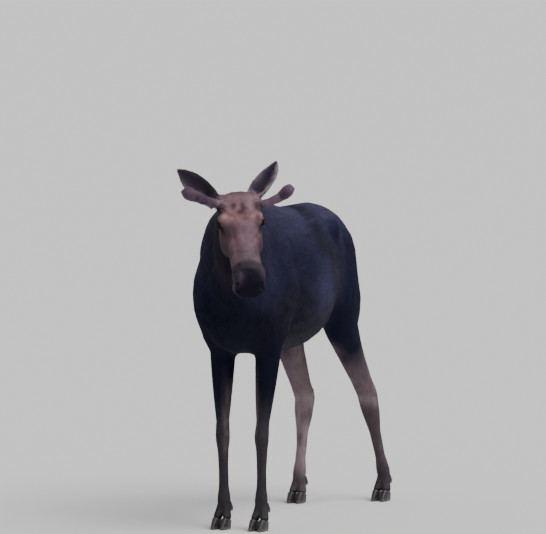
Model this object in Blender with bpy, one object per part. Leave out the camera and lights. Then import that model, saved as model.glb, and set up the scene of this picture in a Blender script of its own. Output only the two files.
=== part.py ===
"""Life-size moose, a young bull with antlers in velvet, standing with its head turned to its left.

Metres, +Z up. The animal faces -Y and its left side is +X. The flesh is modelled whole, as lofts and
swellings fused by a voxel remesh, and then parted by thin cuts into head, neck, trunk and legs. Ears,
tail, antlers, hooves and dewclaws are cut to meet it, and the eyes sit in sockets cut into the head.
The origin is on the ground under the middle of the finished model's box.
"""

import math

import bmesh
import bpy
from mathutils import Matrix, Vector

# ------------------------------------------------------------------ driving dimensions
GAP = 0.0004  # width of a parting cut
RING = 28  # points round a loft
SOFT_VOXEL = 0.014  # remesh of the fleshy masses, before smoothing
FINE_VOXEL = 0.007  # remesh of the whole animal
BODY_SOFTENING, SKULL_SOFTENING, WHOLE_SOFTENING = 26, 10, 5  # smoothing steps after each remesh
FLESH_TRIANGLES = 2850  # what the whole flesh keeps
FIRST_THINNING = 1.8  # how many times as many are left after the first, even thinning
HEAD_KEPT = (0.13, 0.33)  # the second spares the head: middle in front of the eyes, and radius

# The trunk, front to back: y, back line, belly line, half width, height of the widest place,
# fullness above it and fullness below it (2 is an ellipse, less is narrower towards the edge).
TRUNK = [
    (-0.30, 1.44, 1.17, 0.090, 1.28, 2.0, 2.0),  # breast
    (-0.23, 1.60, 1.06, 0.186, 1.32, 1.7, 1.8),
    (-0.12, 1.765, 0.995, 0.246, 1.34, 1.35, 1.7),
    (0.04, 1.848, 0.975, 0.264, 1.36, 1.2, 1.8),  # withers
    (0.20, 1.832, 0.965, 0.268, 1.33, 1.2, 2.0),
    (0.38, 1.785, 0.955, 0.280, 1.32, 1.4, 2.1),
    (0.56, 1.758, 0.95, 0.284, 1.32, 1.6, 2.2),  # ribs
    (0.74, 1.755, 0.965, 0.266, 1.33, 1.7, 2.1),
    (0.90, 1.757, 1.01, 0.236, 1.38, 1.65, 2.0),  # flank
    (1.02, 1.747, 1.08, 0.218, 1.42, 1.55, 2.0),  # croup
    (1.14, 1.718, 1.14, 0.197, 1.42, 1.55, 2.0),
    (1.25, 1.655, 1.18, 0.160, 1.42, 1.7, 2.0),
    (1.325, 1.57, 1.23, 0.110, 1.40, 2.0, 2.0),  # buttocks
    (1.365, 1.48, 1.30, 0.045, 1.39, 2.0, 2.0),
]

# Muscle and bone that swell out of the trunk on each side:
# centre (x of the left one), radii, and lean about X in degrees.
SWELLINGS = [
    ((0.095, 0.04, 1.46), (0.095, 0.150, 0.260), 22),  # shoulder blade
    ((0.135, -0.11, 1.27), (0.098, 0.130, 0.165), 0),  # point of the shoulder
    ((0.165, 0.02, 1.17), (0.082, 0.165, 0.180), 0),  # upper arm
    ((0.122, 1.08, 1.36), (0.100, 0.225, 0.260), 0),  # haunch
    ((0.125, 0.920, 1.595), (0.092, 0.105, 0.100), 0),  # hip bone
]

# The neck, from inside the shoulders to the nape: centre, half width, reach up and reach down.
NECK = [
    ((0.000, 0.04, 1.440), 0.205, 0.370, 0.340),
    ((0.010, -0.12, 1.500), 0.204, 0.315, 0.330),
    ((0.056, -0.26, 1.580), 0.182, 0.240, 0.275),
    ((0.116, -0.38, 1.665), 0.148, 0.190, 0.215),
    ((0.166, -0.48, 1.745), 0.114, 0.150, 0.165),
    ((0.200, -0.56, 1.805), 0.096, 0.105, 0.125),
]

# The head: where the middle between the eyes is, and how the head is held.
HEAD_AT = Vector((0.242, -0.617, 1.742))
HEAD_TURN = math.radians(30.0)  # to the animal's left of straight ahead
HEAD_DROP = math.radians(50.4)  # nose below the horizon
HEAD_TILT = math.radians(3.4)  # left eye above the right

# The skull and muzzle along the head's own axis: distance in front of the eyes, top, bottom,
# half width, height of the widest place, fullness above and below.
HEAD = [
    (-0.215, 0.025, -0.100, 0.076, -0.03, 2.0, 2.0),  # nape
    (-0.170, 0.064, -0.150, 0.110, -0.02, 2.3, 2.0),  # poll
    (-0.110, 0.074, -0.180, 0.118, -0.01, 2.6, 2.0),  # antler stems
    (-0.050, 0.064, -0.190, 0.115, -0.02, 2.6, 2.0),  # forehead
    (0.010, 0.052, -0.185, 0.106, -0.03, 2.6, 2.0),  # eyes
    (0.078, 0.044, -0.160, 0.093, -0.04, 2.6, 2.0),
    (0.152, 0.040, -0.130, 0.082, -0.03, 2.8, 2.1),  # bridge of the nose
    (0.210, 0.042, -0.118, 0.079, -0.03, 2.8, 2.2),
    (0.262, 0.047, -0.120, 0.080, -0.035, 2.7, 2.3),
    (0.312, 0.045, -0.128, 0.081, -0.045, 2.6, 2.4),  # nostrils
    (0.354, 0.028, -0.132, 0.081, -0.06, 2.5, 2.4),
    (0.388, -0.002, -0.130, 0.074, -0.072, 2.3, 2.4),  # overhanging lip
    (0.410, -0.042, -0.112, 0.048, -0.082, 2.0, 2.2),
]

# Swellings of the head on each side: centre (along, left, up) and radii, in the head's frame.
HEAD_SWELLINGS = [
    ((-0.036, 0.090, 0.016), (0.056, 0.034, 0.032)),  # brow and eye socket
    ((0.028, 0.080, -0.080), (0.112, 0.038, 0.074)),  # cheek
    ((-0.100, 0.090, 0.046), (0.042, 0.040, 0.034)),  # stem of the antler
    ((-0.163, 0.086, 0.004), (0.042, 0.040, 0.048)),  # root of the ear
    ((-0.075, 0.020, 0.048), (0.060, 0.056, 0.034)),  # boss of the forehead
    ((0.312, 0.052, -0.015), (0.066, 0.040, 0.050)),  # nostril
    ((0.358, 0.050, -0.082), (0.058, 0.042, 0.052)),  # side of the upper lip
    ((0.296, 0.018, -0.118), (0.080, 0.040, 0.038)),  # chin
]
BELL = [  # the lobe under the throat
    ((0.181, -0.476, 1.650), 0.034, 0.040),
    ((0.178, -0.470, 1.580), 0.024, 0.034),
    ((0.176, -0.466, 1.520), 0.018, 0.026),
    ((0.175, -0.464, 1.475), 0.011, 0.014),
]
EYE_AT = (-0.018, 0.1130, 0.004)
EYE_RADIUS = 0.0205
EYE_RING, EYE_RINGS = 10, 8

# Fore leg joints, shoulder to fetlock, of the left leg. The right one mirrors them.
FORE_JOINTS = [
    (0.165, -0.12, 1.26),
    (0.136, 0.035, 0.99),
    (0.117, -0.014, 0.525),
    (0.112, -0.010, 0.158),
]
# Where along which bone, half width, reach to the front and reach to the back.
FORE_SECTIONS = [
    (0, 0.00, 0.070, 0.090, 0.095),
    (0, 0.55, 0.078, 0.105, 0.120),
    (1, 0.00, 0.070, 0.082, 0.100),  # elbow
    (1, 0.16, 0.066, 0.074, 0.076),
    (1, 0.36, 0.0595, 0.064, 0.062),
    (1, 0.60, 0.0500, 0.050, 0.050),
    (1, 0.80, 0.0390, 0.040, 0.042),
    (1, 0.91, 0.0385, 0.042, 0.042),
    (2, 0.00, 0.0415, 0.046, 0.043),  # knee
    (2, 0.10, 0.0400, 0.043, 0.044),
    (2, 0.22, 0.0330, 0.033, 0.041),
    (2, 0.50, 0.0280, 0.028, 0.037),
    (2, 0.80, 0.0295, 0.028, 0.039),
    (2, 0.94, 0.0375, 0.033, 0.045),
    (2, 1.00, 0.0385, 0.034, 0.044),  # fetlock
    (2, 1.10, 0.0340, 0.031, 0.038),
]

# Hind leg joints, hip to fetlock. The left foot is a step behind the right one.
HIND_JOINTS_LEFT = [
    (0.125, 1.10, 1.40),
    (0.172, 1.010, 1.04),
    (0.200, 1.388, 0.625),
    (0.256, 1.505, 0.160),
]
HIND_JOINTS_RIGHT = [
    (-0.125, 1.10, 1.40),
    (-0.158, 0.980, 1.04),
    (-0.152, 1.306, 0.598),
    (-0.160, 1.240, 0.160),
]
HIND_SECTIONS = [
    (0, 0.00, 0.105, 0.165, 0.170),
    (0, 0.45, 0.108, 0.165, 0.250),
    (0, 0.85, 0.098, 0.112, 0.240),
    (1, 0.05, 0.088, 0.080, 0.196),  # stifle
    (1, 0.22, 0.080, 0.072, 0.148),
    (1, 0.42, 0.072, 0.062, 0.098),
    (1, 0.62, 0.0660, 0.054, 0.072),
    (1, 0.80, 0.0610, 0.049, 0.058),
    (1, 0.92, 0.0600, 0.050, 0.056),
    (2, 0.00, 0.0590, 0.055, 0.058),  # hock
    (2, 0.10, 0.0580, 0.054, 0.056),
    (2, 0.25, 0.0520, 0.046, 0.050),
    (2, 0.42, 0.0375, 0.035, 0.042),
    (2, 0.62, 0.0300, 0.030, 0.039),
    (2, 0.82, 0.0310, 0.030, 0.041),
    (2, 0.94, 0.0395, 0.034, 0.046),
    (2, 1.00, 0.0400, 0.034, 0.045),  # fetlock
    (2, 1.09, 0.0350, 0.031, 0.038),
]
THIGH_SHARE = 0.6  # how far down the second bone the part of a leg goes that is fused with the trunk
HEEL_BONE = (0.026, 0.052, 0.048)  # how far the point of the hock is inside, behind and above the joint
CALF_SHARE, CALF_BEHIND = 0.45, 0.045  # where its tendon ends on the second bone

# One claw of a foot in slices: height, middle in front of the fetlock, half length, half width
# and how far it stands from the middle of the foot.
CLAW = [
    (0.000, 0.046, 0.066, 0.0240, 0.0275),
    (0.012, 0.045, 0.068, 0.0258, 0.0285),
    (0.034, 0.039, 0.058, 0.0262, 0.0285),
    (0.070, 0.023, 0.042, 0.0258, 0.0275),
    (0.098, 0.010, 0.034, 0.0255, 0.0215),
    (0.128, 0.000, 0.030, 0.0235, 0.0175),
    (0.152, -0.003, 0.024, 0.0200, 0.0140),
]
INNER_CLAW = 0.96  # the claw towards the other leg is this much smaller
CLAW_RING = 8  # points round a claw
CLAW_POINTED = 0.30  # how much narrower its toe is at the ground
CORONET_FRONT = (0.078, 0.073)  # where hoof ends and hair begins: distance in front, height
CORONET_BACK = (-0.030, 0.036)
CLAW_BLOCK = 0.2  # half size of the block that cuts away one side of the coronet
DEWCLAW_FROM, DEWCLAW_TO = (-0.022, 0.142), (-0.062, 0.094)  # distance in front, height
DEWCLAW_SIDE = 0.024
DEWCLAW_RADIUS = 0.0135
DEWCLAW_RING = 6

# The ears: length, half width and thickness. Each edge turns round the cup by EAR_CURL degrees at
# the root and EAR_UNCURL less at the tip.
EAR_LENGTH, EAR_HALF_WIDTH, EAR_WALL = 0.310, 0.068, 0.007
EAR_CURL, EAR_UNCURL = 106, 82
EAR_BEND = 0.020  # how far the middle of the ear bows back
EAR_TIP = 0.006  # half width at the very tip
EAR_BLUNT = 2.6  # how long it keeps its width towards the tip
EAR_SUNK = 0.020  # how far the root is sunk into the head
EAR_ROWS, EAR_COLUMNS = 9, 6
# For each ear, in the head's frame (along, left, up): root, direction of the tip, and the way
# the cup opens.
EARS = {
    "ear_right": ((-0.180, -0.120, -0.020), (-0.78, -0.62, 0.076), (0.60, -0.02, 0.80)),
    "ear_left": ((-0.182, 0.107, -0.006), (-0.86, 0.50, -0.045), (-0.16, -0.30, 0.90)),
}

# The antlers in velvet: points along each beam (along, left, up) with a radius, and then along
# the bud on its front. Both are given as if they were on the left.
BEAMS = {
    "left": [
        ((-0.096, 0.055, 0.034), 0.030),
        ((-0.103, 0.125, 0.044), 0.026),
        ((-0.112, 0.175, 0.050), 0.0245),
        ((-0.130, 0.228, 0.062), 0.029),
        ((-0.156, 0.272, 0.077), 0.037),
        ((-0.178, 0.300, 0.090), 0.022),
    ],
    "right": [
        ((-0.098, 0.055, 0.038), 0.030),
        ((-0.118, 0.125, 0.058), 0.026),
        ((-0.134, 0.172, 0.067), 0.0245),
        ((-0.152, 0.222, 0.079), 0.030),
        ((-0.172, 0.270, 0.093), 0.041),
        ((-0.198, 0.296, 0.107), 0.026),
    ],
}
BUDS = {
    "left": [
        ((-0.128, 0.225, 0.060), 0.024),
        ((-0.130, 0.256, 0.090), 0.024),
        ((-0.132, 0.266, 0.112), 0.014),
    ],
    "right": [
        ((-0.140, 0.190, 0.070), 0.026),
        ((-0.122, 0.204, 0.100), 0.030),
        ((-0.108, 0.208, 0.124), 0.019),
    ],
}
ANTLER_RING = 12

TAIL = [
    ((0.0, 1.285, 1.600), 0.034, 0.030),
    ((0.0, 1.345, 1.568), 0.031, 0.027),
    ((0.0, 1.378, 1.515), 0.027, 0.020),
    ((0.0, 1.386, 1.462), 0.014, 0.011),
]
TAIL_RING = 12

# Where the thin plates part the flesh: centre, direction it faces, half width and half height.
NECK_CUT = ((0.045, -0.215, 1.53), (0.28, -0.83, 0.42), 0.50, 0.50)
HEAD_CUT = ((0.155, -0.455, 1.72), (0.36, -0.91, -0.21), 0.25, 0.34)
KNEE_PLATE = (0.11, 0.13)  # half width and half height of the plates through knees and hocks
HOCK_BEHIND = 0.02  # the plate through a hock is this far behind its joint
# The domes over the tops of the legs: centre, radii and length of the straight skirt.
FORE_DOME = ((0.158, 0.03, 0.95), (0.112, 0.165, 0.205), 0.05)
HIND_DOME = ((0.172, 1.135, 1.05), (0.150, 0.275, 0.265), 0.10)
DOME_RING = 16
DOME_LEVELS = 5

# Colours (linear) and roughness of the materials, and the material of the pieces that are not coat
# by how their names start.
MATERIALS = {
    "coat": ((0.026, 0.022, 0.026), 0.75),
    "face": ((0.170, 0.090, 0.065), 0.80),
    "velvet": ((0.075, 0.045, 0.040), 0.90),
    "horn": ((0.020, 0.017, 0.016), 0.45),
    "eye": ((0.010, 0.006, 0.004), 0.08),
}
SHARP_ANGLE = math.radians(40)
SLOTS = {"head": "face", "antler": "velvet", "hoof": "horn", "dewclaw": "horn", "eye": "eye"}


# ------------------------------------------------------------------ the head's frame
def head_axes():
    """(along the nose, to the animal's left, up out of the forehead) as unit vectors."""
    ahead = Vector((math.sin(HEAD_TURN), -math.cos(HEAD_TURN), 0.0))
    left = Vector((math.cos(HEAD_TURN), math.sin(HEAD_TURN), 0.0))
    up = Vector((0.0, 0.0, 1.0))
    along = ahead * math.cos(HEAD_DROP) - up * math.sin(HEAD_DROP)
    out = ahead * math.sin(HEAD_DROP) + up * math.cos(HEAD_DROP)
    tilt = Matrix.Rotation(HEAD_TILT, 3, ahead)
    return tilt @ along, tilt @ left, tilt @ out


ALONG, LEFT, OUT = head_axes()


def on_head(place, side=1):
    """A point given in the head's frame. side -1 mirrors it to the animal's right."""
    along, left, up = place
    return HEAD_AT + ALONG * along + LEFT * (left * side) + OUT * up


# ------------------------------------------------------------------ shapes
def through(rows, steps):
    """Rows of numbers with steps - 1 more between each two, on a smooth curve through them."""
    padded = [rows[0], *rows, rows[-1]]
    made = []
    for before, start, end, after in zip(padded, padded[1:], padded[2:], padded[3:]):
        for step in range(steps):
            t = step / steps
            row = []
            for a, b, c, d in zip(before, start, end, after):
                bend, twist = 2 * a - 5 * b + 4 * c - d, 3 * b - a - 3 * c + d
                row.append(0.5 * (2 * b + (c - a) * t + bend * t * t + twist * t**3))
            made.append(row)
    return [*made, list(rows[-1])]


def ring(centre, across, upward, half, above, below, full_above=2.0, full_below=2.0, count=RING):
    """A closed outline in the plane of across and upward."""
    points = []
    for i in range(count):
        turn = 2 * math.pi * i / count
        sine = math.sin(turn)
        reach = above * sine ** (2 / full_above) if sine >= 0 else -below * (-sine) ** (2 / full_below)
        points.append(centre + across * (half * math.cos(turn)) + upward * reach)
    return points


def loft(name, rings):
    """A closed mesh through rings of as many points each, with a fan on both ends."""
    mesh = bmesh.new()
    loops = [[mesh.verts.new(p) for p in points] for points in rings]
    for first, second in zip(loops, loops[1:]):
        for i in range(len(first)):
            j = (i + 1) % len(first)
            mesh.faces.new((first[i], first[j], second[j], second[i]))
    for loop in (loops[0], loops[-1]):
        middle = mesh.verts.new(sum((v.co for v in loop), Vector()) / len(loop))
        for i in range(len(loop)):
            mesh.faces.new((loop[i], loop[(i + 1) % len(loop)], middle))
    bmesh.ops.recalc_face_normals(mesh, faces=mesh.faces)
    return as_object(name, mesh)


def as_object(name, mesh):
    data = bpy.data.meshes.new(name)
    mesh.to_mesh(data)
    mesh.free()
    made = bpy.data.objects.new(name, data)
    bpy.context.scene.collection.objects.link(made)
    return made


def ball(name, centre, radii, turn=None, segments=28, rings=16):
    """An ellipsoid. turn is a 3x3 matrix whose columns are its own axes."""
    mesh = bmesh.new()
    bmesh.ops.create_uvsphere(mesh, u_segments=segments, v_segments=rings, radius=1.0)
    axes = (turn or Matrix.Identity(3)).to_4x4()
    place = Matrix.Translation(centre) @ axes @ Matrix.Diagonal((*radii, 1.0))
    bmesh.ops.transform(mesh, matrix=place, verts=mesh.verts)
    return as_object(name, mesh)


def tube(name, stations, steps=3, side_hint=Vector((1, 0, 0)), count=RING):
    """A loft along (point, radius) or (point, half width, reach) stations, square to its own line."""
    rows = through([(*point, *sizes, sizes[-1]) for point, *sizes in stations], steps)
    points = [Vector(row[:3]) for row in rows]
    rings = []
    for i, row in enumerate(rows):
        line = (points[min(i + 1, len(rows) - 1)] - points[max(i - 1, 0)]).normalized()
        upward = line.cross(side_hint).normalized()
        rings.append(ring(points[i], upward.cross(line), upward, row[3], row[4], row[4], count=count))
    return loft(name, rings)


# ------------------------------------------------------------------ modifiers
def apply(obj, kind, **settings):
    """Adds a modifier and applies it."""
    modifier = obj.modifiers.new(kind.title(), kind)
    for key, value in settings.items():
        setattr(modifier, key, value)
    graph = bpy.context.evaluated_depsgraph_get()
    mesh = bpy.data.meshes.new_from_object(obj.evaluated_get(graph))
    obj.modifiers.clear()
    old = obj.data
    obj.data = mesh
    bpy.data.meshes.remove(old)
    return obj


def joined(name, objects):
    """One object of several. Their solids stay apart or overlap as they were."""
    mesh = bmesh.new()
    for obj in objects:
        mesh.from_mesh(obj.data)
        bpy.data.objects.remove(obj)
    return as_object(name, mesh)


def fused(name, objects, voxel, smoothing):
    """Overlapping solids made one skin, with the creases between them softened."""
    whole = joined(name, objects)
    apply(whole, "REMESH", mode="VOXEL", voxel_size=voxel, use_smooth_shade=False)
    if smoothing:
        apply(whole, "SMOOTH", factor=0.5, iterations=smoothing)
    return whole


def thinned(obj, triangles, **settings):
    """Thins a mesh out to about as many triangles."""
    faces = sum(len(polygon.vertices) - 2 for polygon in obj.data.polygons)
    return apply(obj, "DECIMATE", ratio=triangles / faces, use_collapse_triangulate=True, **settings)


def swollen(obj, amount):
    """A copy pushed out along its normals, to cut a clearance with."""
    copy = bpy.data.objects.new("clearance", obj.data.copy())
    bpy.context.scene.collection.objects.link(copy)
    return apply(copy, "DISPLACE", strength=amount, mid_level=0.0)


def cut(obj, tool, operation="DIFFERENCE", keep_tool=False):
    """An exact boolean."""
    apply(obj, "BOOLEAN", operation=operation, object=tool, solver="EXACT")
    if not keep_tool:
        bpy.data.objects.remove(tool)
    return obj


def loose_parts(obj, smallest=2e-6):
    """Each connected piece of an object as an object of its own. Crumbs are dropped."""
    mesh = bmesh.new()
    mesh.from_mesh(obj.data)
    bpy.data.objects.remove(obj)
    mesh.verts.ensure_lookup_table()
    owner, pieces = {}, []
    for seed in mesh.verts:
        if seed in owner:
            continue
        pile, members = [seed], []
        owner[seed] = len(pieces)
        while pile:
            vertex = pile.pop()
            members.append(vertex)
            for edge in vertex.link_edges:
                other = edge.other_vert(vertex)
                if other not in owner:
                    owner[other] = len(pieces)
                    pile.append(other)
        pieces.append(members)
    made = []
    for members in pieces:
        piece = bmesh.new()
        copies = {vertex: piece.verts.new(vertex.co) for vertex in members}
        faces = {face for vertex in members for face in vertex.link_faces}
        for face in sorted(faces, key=lambda face: face.index):
            piece.faces.new([copies[vertex] for vertex in face.verts])
        if abs(piece.calc_volume()) > smallest:
            made.append(as_object("piece", piece))
        else:
            piece.free()
    return made


def largest(obj, name):
    """Keeps the largest connected piece of an object."""
    pieces = sorted(loose_parts(obj), key=lambda piece: -len(piece.data.vertices))
    for piece in pieces[1:]:
        bpy.data.objects.remove(piece)
    pieces[0].name = pieces[0].data.name = name
    return pieces[0]


# ------------------------------------------------------------------ flesh
def trunk():
    across, upward = Vector((1, 0, 0)), Vector((0, 0, 1))
    rings = []
    for y, top, bottom, half, widest, above, below in through(TRUNK, 3):
        centre = Vector((0, y, widest))
        rings.append(ring(centre, across, upward, half, top - widest, widest - bottom, above, below, 40))
    return loft("trunk", rings)


def swellings():
    made = []
    for side in (1, -1):
        for (x, y, z), radii, lean in SWELLINGS:
            turn = Matrix.Rotation(math.radians(-lean), 3, "X")
            made.append(ball("swelling", Vector((x * side, y, z)), radii, turn))
    return made


def neck():
    rows = through([(*centre, *sizes) for centre, *sizes in NECK], 3)
    points = [Vector(row[:3]) for row in rows]
    rings = []
    for i, (row, point) in enumerate(zip(rows, points)):
        line = (points[min(i + 1, len(rows) - 1)] - points[max(i - 1, 0)]).normalized()
        across = Vector((-line.y, line.x, 0)).normalized()
        rings.append(ring(point, across, line.cross(across) * -1, *row[3:6], 1.7, 2.0))
    return loft("neck", rings)


def head():
    rings = []
    for along, top, bottom, half, widest, above, below in through(HEAD, 3):
        centre = on_head((along, 0, widest))
        rings.append(ring(centre, LEFT, OUT, half, top - widest, widest - bottom, above, below))
    turn = Matrix((ALONG, LEFT, OUT)).transposed()
    parts = [loft("head", rings)]
    for side in (1, -1):
        parts += [ball("swelling", on_head(place, side), radii, turn) for place, radii in HEAD_SWELLINGS]
    return parts


def leg(joints, sections):
    """The loft of one leg, through sections square to its bones."""
    joints = [Vector(joint) for joint in joints]
    bones = [(b - a).normalized() for a, b in zip(joints, joints[1:])]
    rows = []
    for bone, share, *sizes in sections:
        point = joints[bone].lerp(joints[bone + 1], share)
        other = bones[max(bone - 1, 0)] if share < 0.5 else bones[min(bone + 1, len(bones) - 1)]
        line = bones[bone].lerp(other, abs(share - 0.5) ** 2 * 2).normalized()
        rows.append((*point, *sizes, *line))
    rings = []
    for row in through(rows, 3):
        line = Vector(row[6:9]).normalized()
        across = line.cross(Vector((0, -1, 0))).normalized()
        forward = across.cross(line).normalized()
        if forward.y > 0:
            forward = -forward
        rings.append(ring(Vector(row[:3]), across, forward, *row[3:6]))
    return loft("leg", rings)


def heel_bone(joints):
    """The point of the hock and the tendon that runs up from it."""
    stifle, hock = Vector(joints[1]), Vector(joints[2])
    inside, behind, over = HEEL_BONE
    point = hock + Vector((-math.copysign(inside, hock.x), behind, over))
    calf = stifle.lerp(hock, CALF_SHARE) + Vector((0, CALF_BEHIND, 0))
    bone = [
        (hock - Vector((0, -0.01, 0.03)), 0.030, 0.030),
        (hock.lerp(point, 0.6), 0.026, 0.028),
        (point, 0.0195, 0.018),
    ]
    tendon = [
        (point - Vector((0, 0.004, 0.012)), 0.013, 0.014),
        (point.lerp(calf, 0.5), 0.013, 0.014),
        (calf, 0.022, 0.026),
    ]
    return [tube("heel_bone", bone), tube("tendon", tendon)]


def legs():
    """For each leg, its joints from the top down."""
    mirrored = [(-x, y, z) for x, y, z in FORE_JOINTS]
    return {
        "fore_left": FORE_JOINTS,
        "fore_right": mirrored,
        "hind_left": HIND_JOINTS_LEFT,
        "hind_right": HIND_JOINTS_RIGHT,
    }


def flesh():
    """Trunk, neck, head and legs as one smooth solid."""
    masses = [trunk(), neck(), *swellings()]
    limbs = []
    for name, joints in legs().items():
        sections = FORE_SECTIONS if name.startswith("fore") else HIND_SECTIONS
        masses.append(leg(joints, [row for row in sections if row[0] + row[1] < 1 + THIGH_SHARE]))
        limbs.append(leg(joints, [row for row in sections if row[0] > 0]))
        if name.startswith("hind"):
            limbs += heel_bone(joints)
    body = fused("body", masses, SOFT_VOXEL, BODY_SOFTENING)
    skull = fused("skull", head(), FINE_VOXEL, SKULL_SOFTENING)
    bell = tube("bell", BELL, side_hint=LEFT)
    whole = fused("flesh", [body, skull, bell, *limbs], FINE_VOXEL, WHOLE_SOFTENING)
    thinned(whole, FIRST_THINNING * FLESH_TRIANGLES)
    group = whole.vertex_groups.new(name="plain")
    ahead, radius = HEAD_KEPT
    for vertex in whole.data.vertices:
        if (vertex.co - HEAD_AT - ALONG * ahead).length > radius:
            group.add([vertex.index], 1.0, "REPLACE")
    return thinned(whole, FLESH_TRIANGLES, vertex_group="plain")


# ------------------------------------------------------------------ horn, ears and tail
def claw(joints, side, above):
    """One digit on its flat sole: either the hairy part above the coronet or the hoof below it."""
    fetlock = Vector(joints[3])
    size = 1.0 if side * fetlock.x > 0 else INNER_CLAW
    rings = []
    for height, middle, length, half, stand in CLAW:
        length, half = length * size, half * size
        points = []
        for i in range(CLAW_RING):
            turn = 2 * math.pi * (i + 0.5) / CLAW_RING
            pointed = 1 - CLAW_POINTED * max(0.0, math.cos(turn)) * (1 - height / CLAW[-1][0])
            x = fetlock.x + side * stand + half * math.sin(turn) * pointed
            points.append(Vector((x, fetlock.y - middle - length * math.cos(turn), height)))
        rings.append(points)
    front = Vector((fetlock.x, fetlock.y - CORONET_FRONT[0], CORONET_FRONT[1]))
    back = Vector((fetlock.x, fetlock.y - CORONET_BACK[0], CORONET_BACK[1]))
    slope = (front - back).normalized()
    normal = slope.cross(Vector((1, 0, 0))) * (-1 if above else 1)
    beyond = (front + back) / 2 + normal * (CLAW_BLOCK - GAP / 2)
    return cut(loft("claw", rings), slab(beyond, normal, CLAW_BLOCK, CLAW_BLOCK, CLAW_BLOCK))


def dewclaw(joints, side):
    fetlock = Vector(joints[3])
    x = fetlock.x + side * DEWCLAW_SIDE
    root, tip = (Vector((x, fetlock.y - ahead, height)) for ahead, height in (DEWCLAW_FROM, DEWCLAW_TO))
    stations = [
        (root, DEWCLAW_RADIUS),
        (root.lerp(tip, 0.6), DEWCLAW_RADIUS),
        (tip, DEWCLAW_RADIUS * 0.45),
    ]
    return tube("dewclaw", stations, steps=1, count=DEWCLAW_RING)


def ear(name):
    """A cupped leaf with a wall, closed round its rim."""
    root, tip, opening = EARS[name]
    root = on_head(root)
    axis = (ALONG * tip[0] + LEFT * tip[1] + OUT * tip[2]).normalized()
    facing = ALONG * opening[0] + LEFT * opening[1] + OUT * opening[2]
    facing = (facing - axis * facing.dot(axis)).normalized()
    across = axis.cross(facing)
    mesh = bmesh.new()
    layers = []
    for outset in (0.0, EAR_WALL):
        grid = []
        for i in range(EAR_ROWS):
            u = i / (EAR_ROWS - 1)
            swell = 0.50 + 0.62 * math.sin(math.pi / 2 * min(1.0, u / 0.9))
            half = max(EAR_HALF_WIDTH * swell * (1 - u**EAR_BLUNT) ** 0.80, EAR_TIP)
            curl = math.radians(EAR_CURL - EAR_UNCURL * u)
            radius = half / math.sin(min(curl, math.pi / 2)) + outset
            bow = facing * (EAR_BEND * math.sin(math.pi * u))
            middle = root + axis * (EAR_LENGTH * u - EAR_SUNK) - bow
            row = []
            for j in range(EAR_COLUMNS + 1):
                turn = curl * (2 * j / EAR_COLUMNS - 1)
                side = across * (math.sin(turn) * radius)
                depth = facing * ((1 - math.cos(turn)) * radius - outset)
                row.append(mesh.verts.new(middle + side + depth))
            grid.append(row)
        layers.append(grid)
    for grid in layers:
        for low, high in zip(grid, grid[1:]):
            for j in range(EAR_COLUMNS):
                mesh.faces.new((low[j], low[j + 1], high[j + 1], high[j]))
    rims = []
    for grid in layers:
        ups = [row[0] for row in grid]
        downs = [row[-1] for row in reversed(grid)]
        rims.append([*ups, *grid[-1][1:-1], *downs, *reversed(grid[0][1:-1])])
    inner, outer = rims
    for i in range(len(inner)):
        j = (i + 1) % len(inner)
        mesh.faces.new((inner[i], inner[j], outer[j], outer[i]))
    bmesh.ops.recalc_face_normals(mesh, faces=mesh.faces)
    return as_object(name, mesh)


def antler(side, clear):
    """The beam of one antler and the bud on its front, parted from the head and from each other."""
    name = "left" if side > 0 else "right"
    beam_line = [(on_head(place, side), radius) for place, radius in BEAMS[name]]
    bud_line = [(on_head(place, side), radius) for place, radius in BUDS[name]]
    beam = tube("beam", beam_line, 2, ALONG, ANTLER_RING)
    bud = tube("bud", bud_line, 2, LEFT, ANTLER_RING)
    around = swollen(beam, GAP)
    largest(cut(beam, clear, keep_tool=True), f"antler_{name}_beam")
    largest(cut(cut(bud, around), clear, keep_tool=True), f"antler_{name}_bud")


# ------------------------------------------------------------------ parting cuts
def slab(centre, normal, half_across, half_up, half_thick=GAP / 2):
    """An oblong block with its middle at centre, square to normal. It is thin unless told otherwise."""
    mesh = bmesh.new()
    bmesh.ops.create_cube(mesh, size=2.0)
    turn = Vector(normal).to_track_quat("Z", "Y").to_matrix().to_4x4()
    sizes = Matrix.Diagonal((half_across, half_up, half_thick, 1.0))
    bmesh.ops.transform(mesh, matrix=Matrix.Translation(centre) @ turn @ sizes, verts=mesh.verts)
    return as_object("cut", mesh)


def dome_shell(centre, radii, skirt):
    """The rings of one face of a dome, from its top down to the rim of its skirt."""
    across, along = Vector((1, 0, 0)), Vector((0, 1, 0))
    shell = []
    for level in range(1, DOME_LEVELS + 1):
        turn = math.pi / 2 * (1 - level / DOME_LEVELS)
        wide, high = math.cos(turn), math.sin(turn)
        at = centre + Vector((0, 0, radii[2] * high))
        half, reach = radii[0] * wide, radii[1] * wide
        shell.append(ring(at, across, along, half, reach, reach, count=DOME_RING))
    shell.append([point - Vector((0, 0, skirt)) for point in shell[-1]])
    return shell


def dome(centre, radii, skirt):
    """A thin-walled dome over a leg's root, with straight sides down to its rim."""
    mesh = bmesh.new()
    rims = []
    for grow in (0.0, GAP):
        grown = [radius + grow for radius in radii]
        loops = [[mesh.verts.new(p) for p in points] for points in dome_shell(centre, grown, skirt)]
        apex = mesh.verts.new(centre + Vector((0, 0, grown[2])))
        for i in range(DOME_RING):
            j = (i + 1) % DOME_RING
            mesh.faces.new((loops[0][i], loops[0][j], apex))
            for first, second in zip(loops, loops[1:]):
                mesh.faces.new((first[i], first[j], second[j], second[i]))
        rims.append(loops[-1])
    for i in range(DOME_RING):
        j = (i + 1) % DOME_RING
        mesh.faces.new((rims[0][i], rims[0][j], rims[1][j], rims[1][i]))
    bmesh.ops.recalc_face_normals(mesh, faces=mesh.faces)
    return as_object("cut", mesh)


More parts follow.
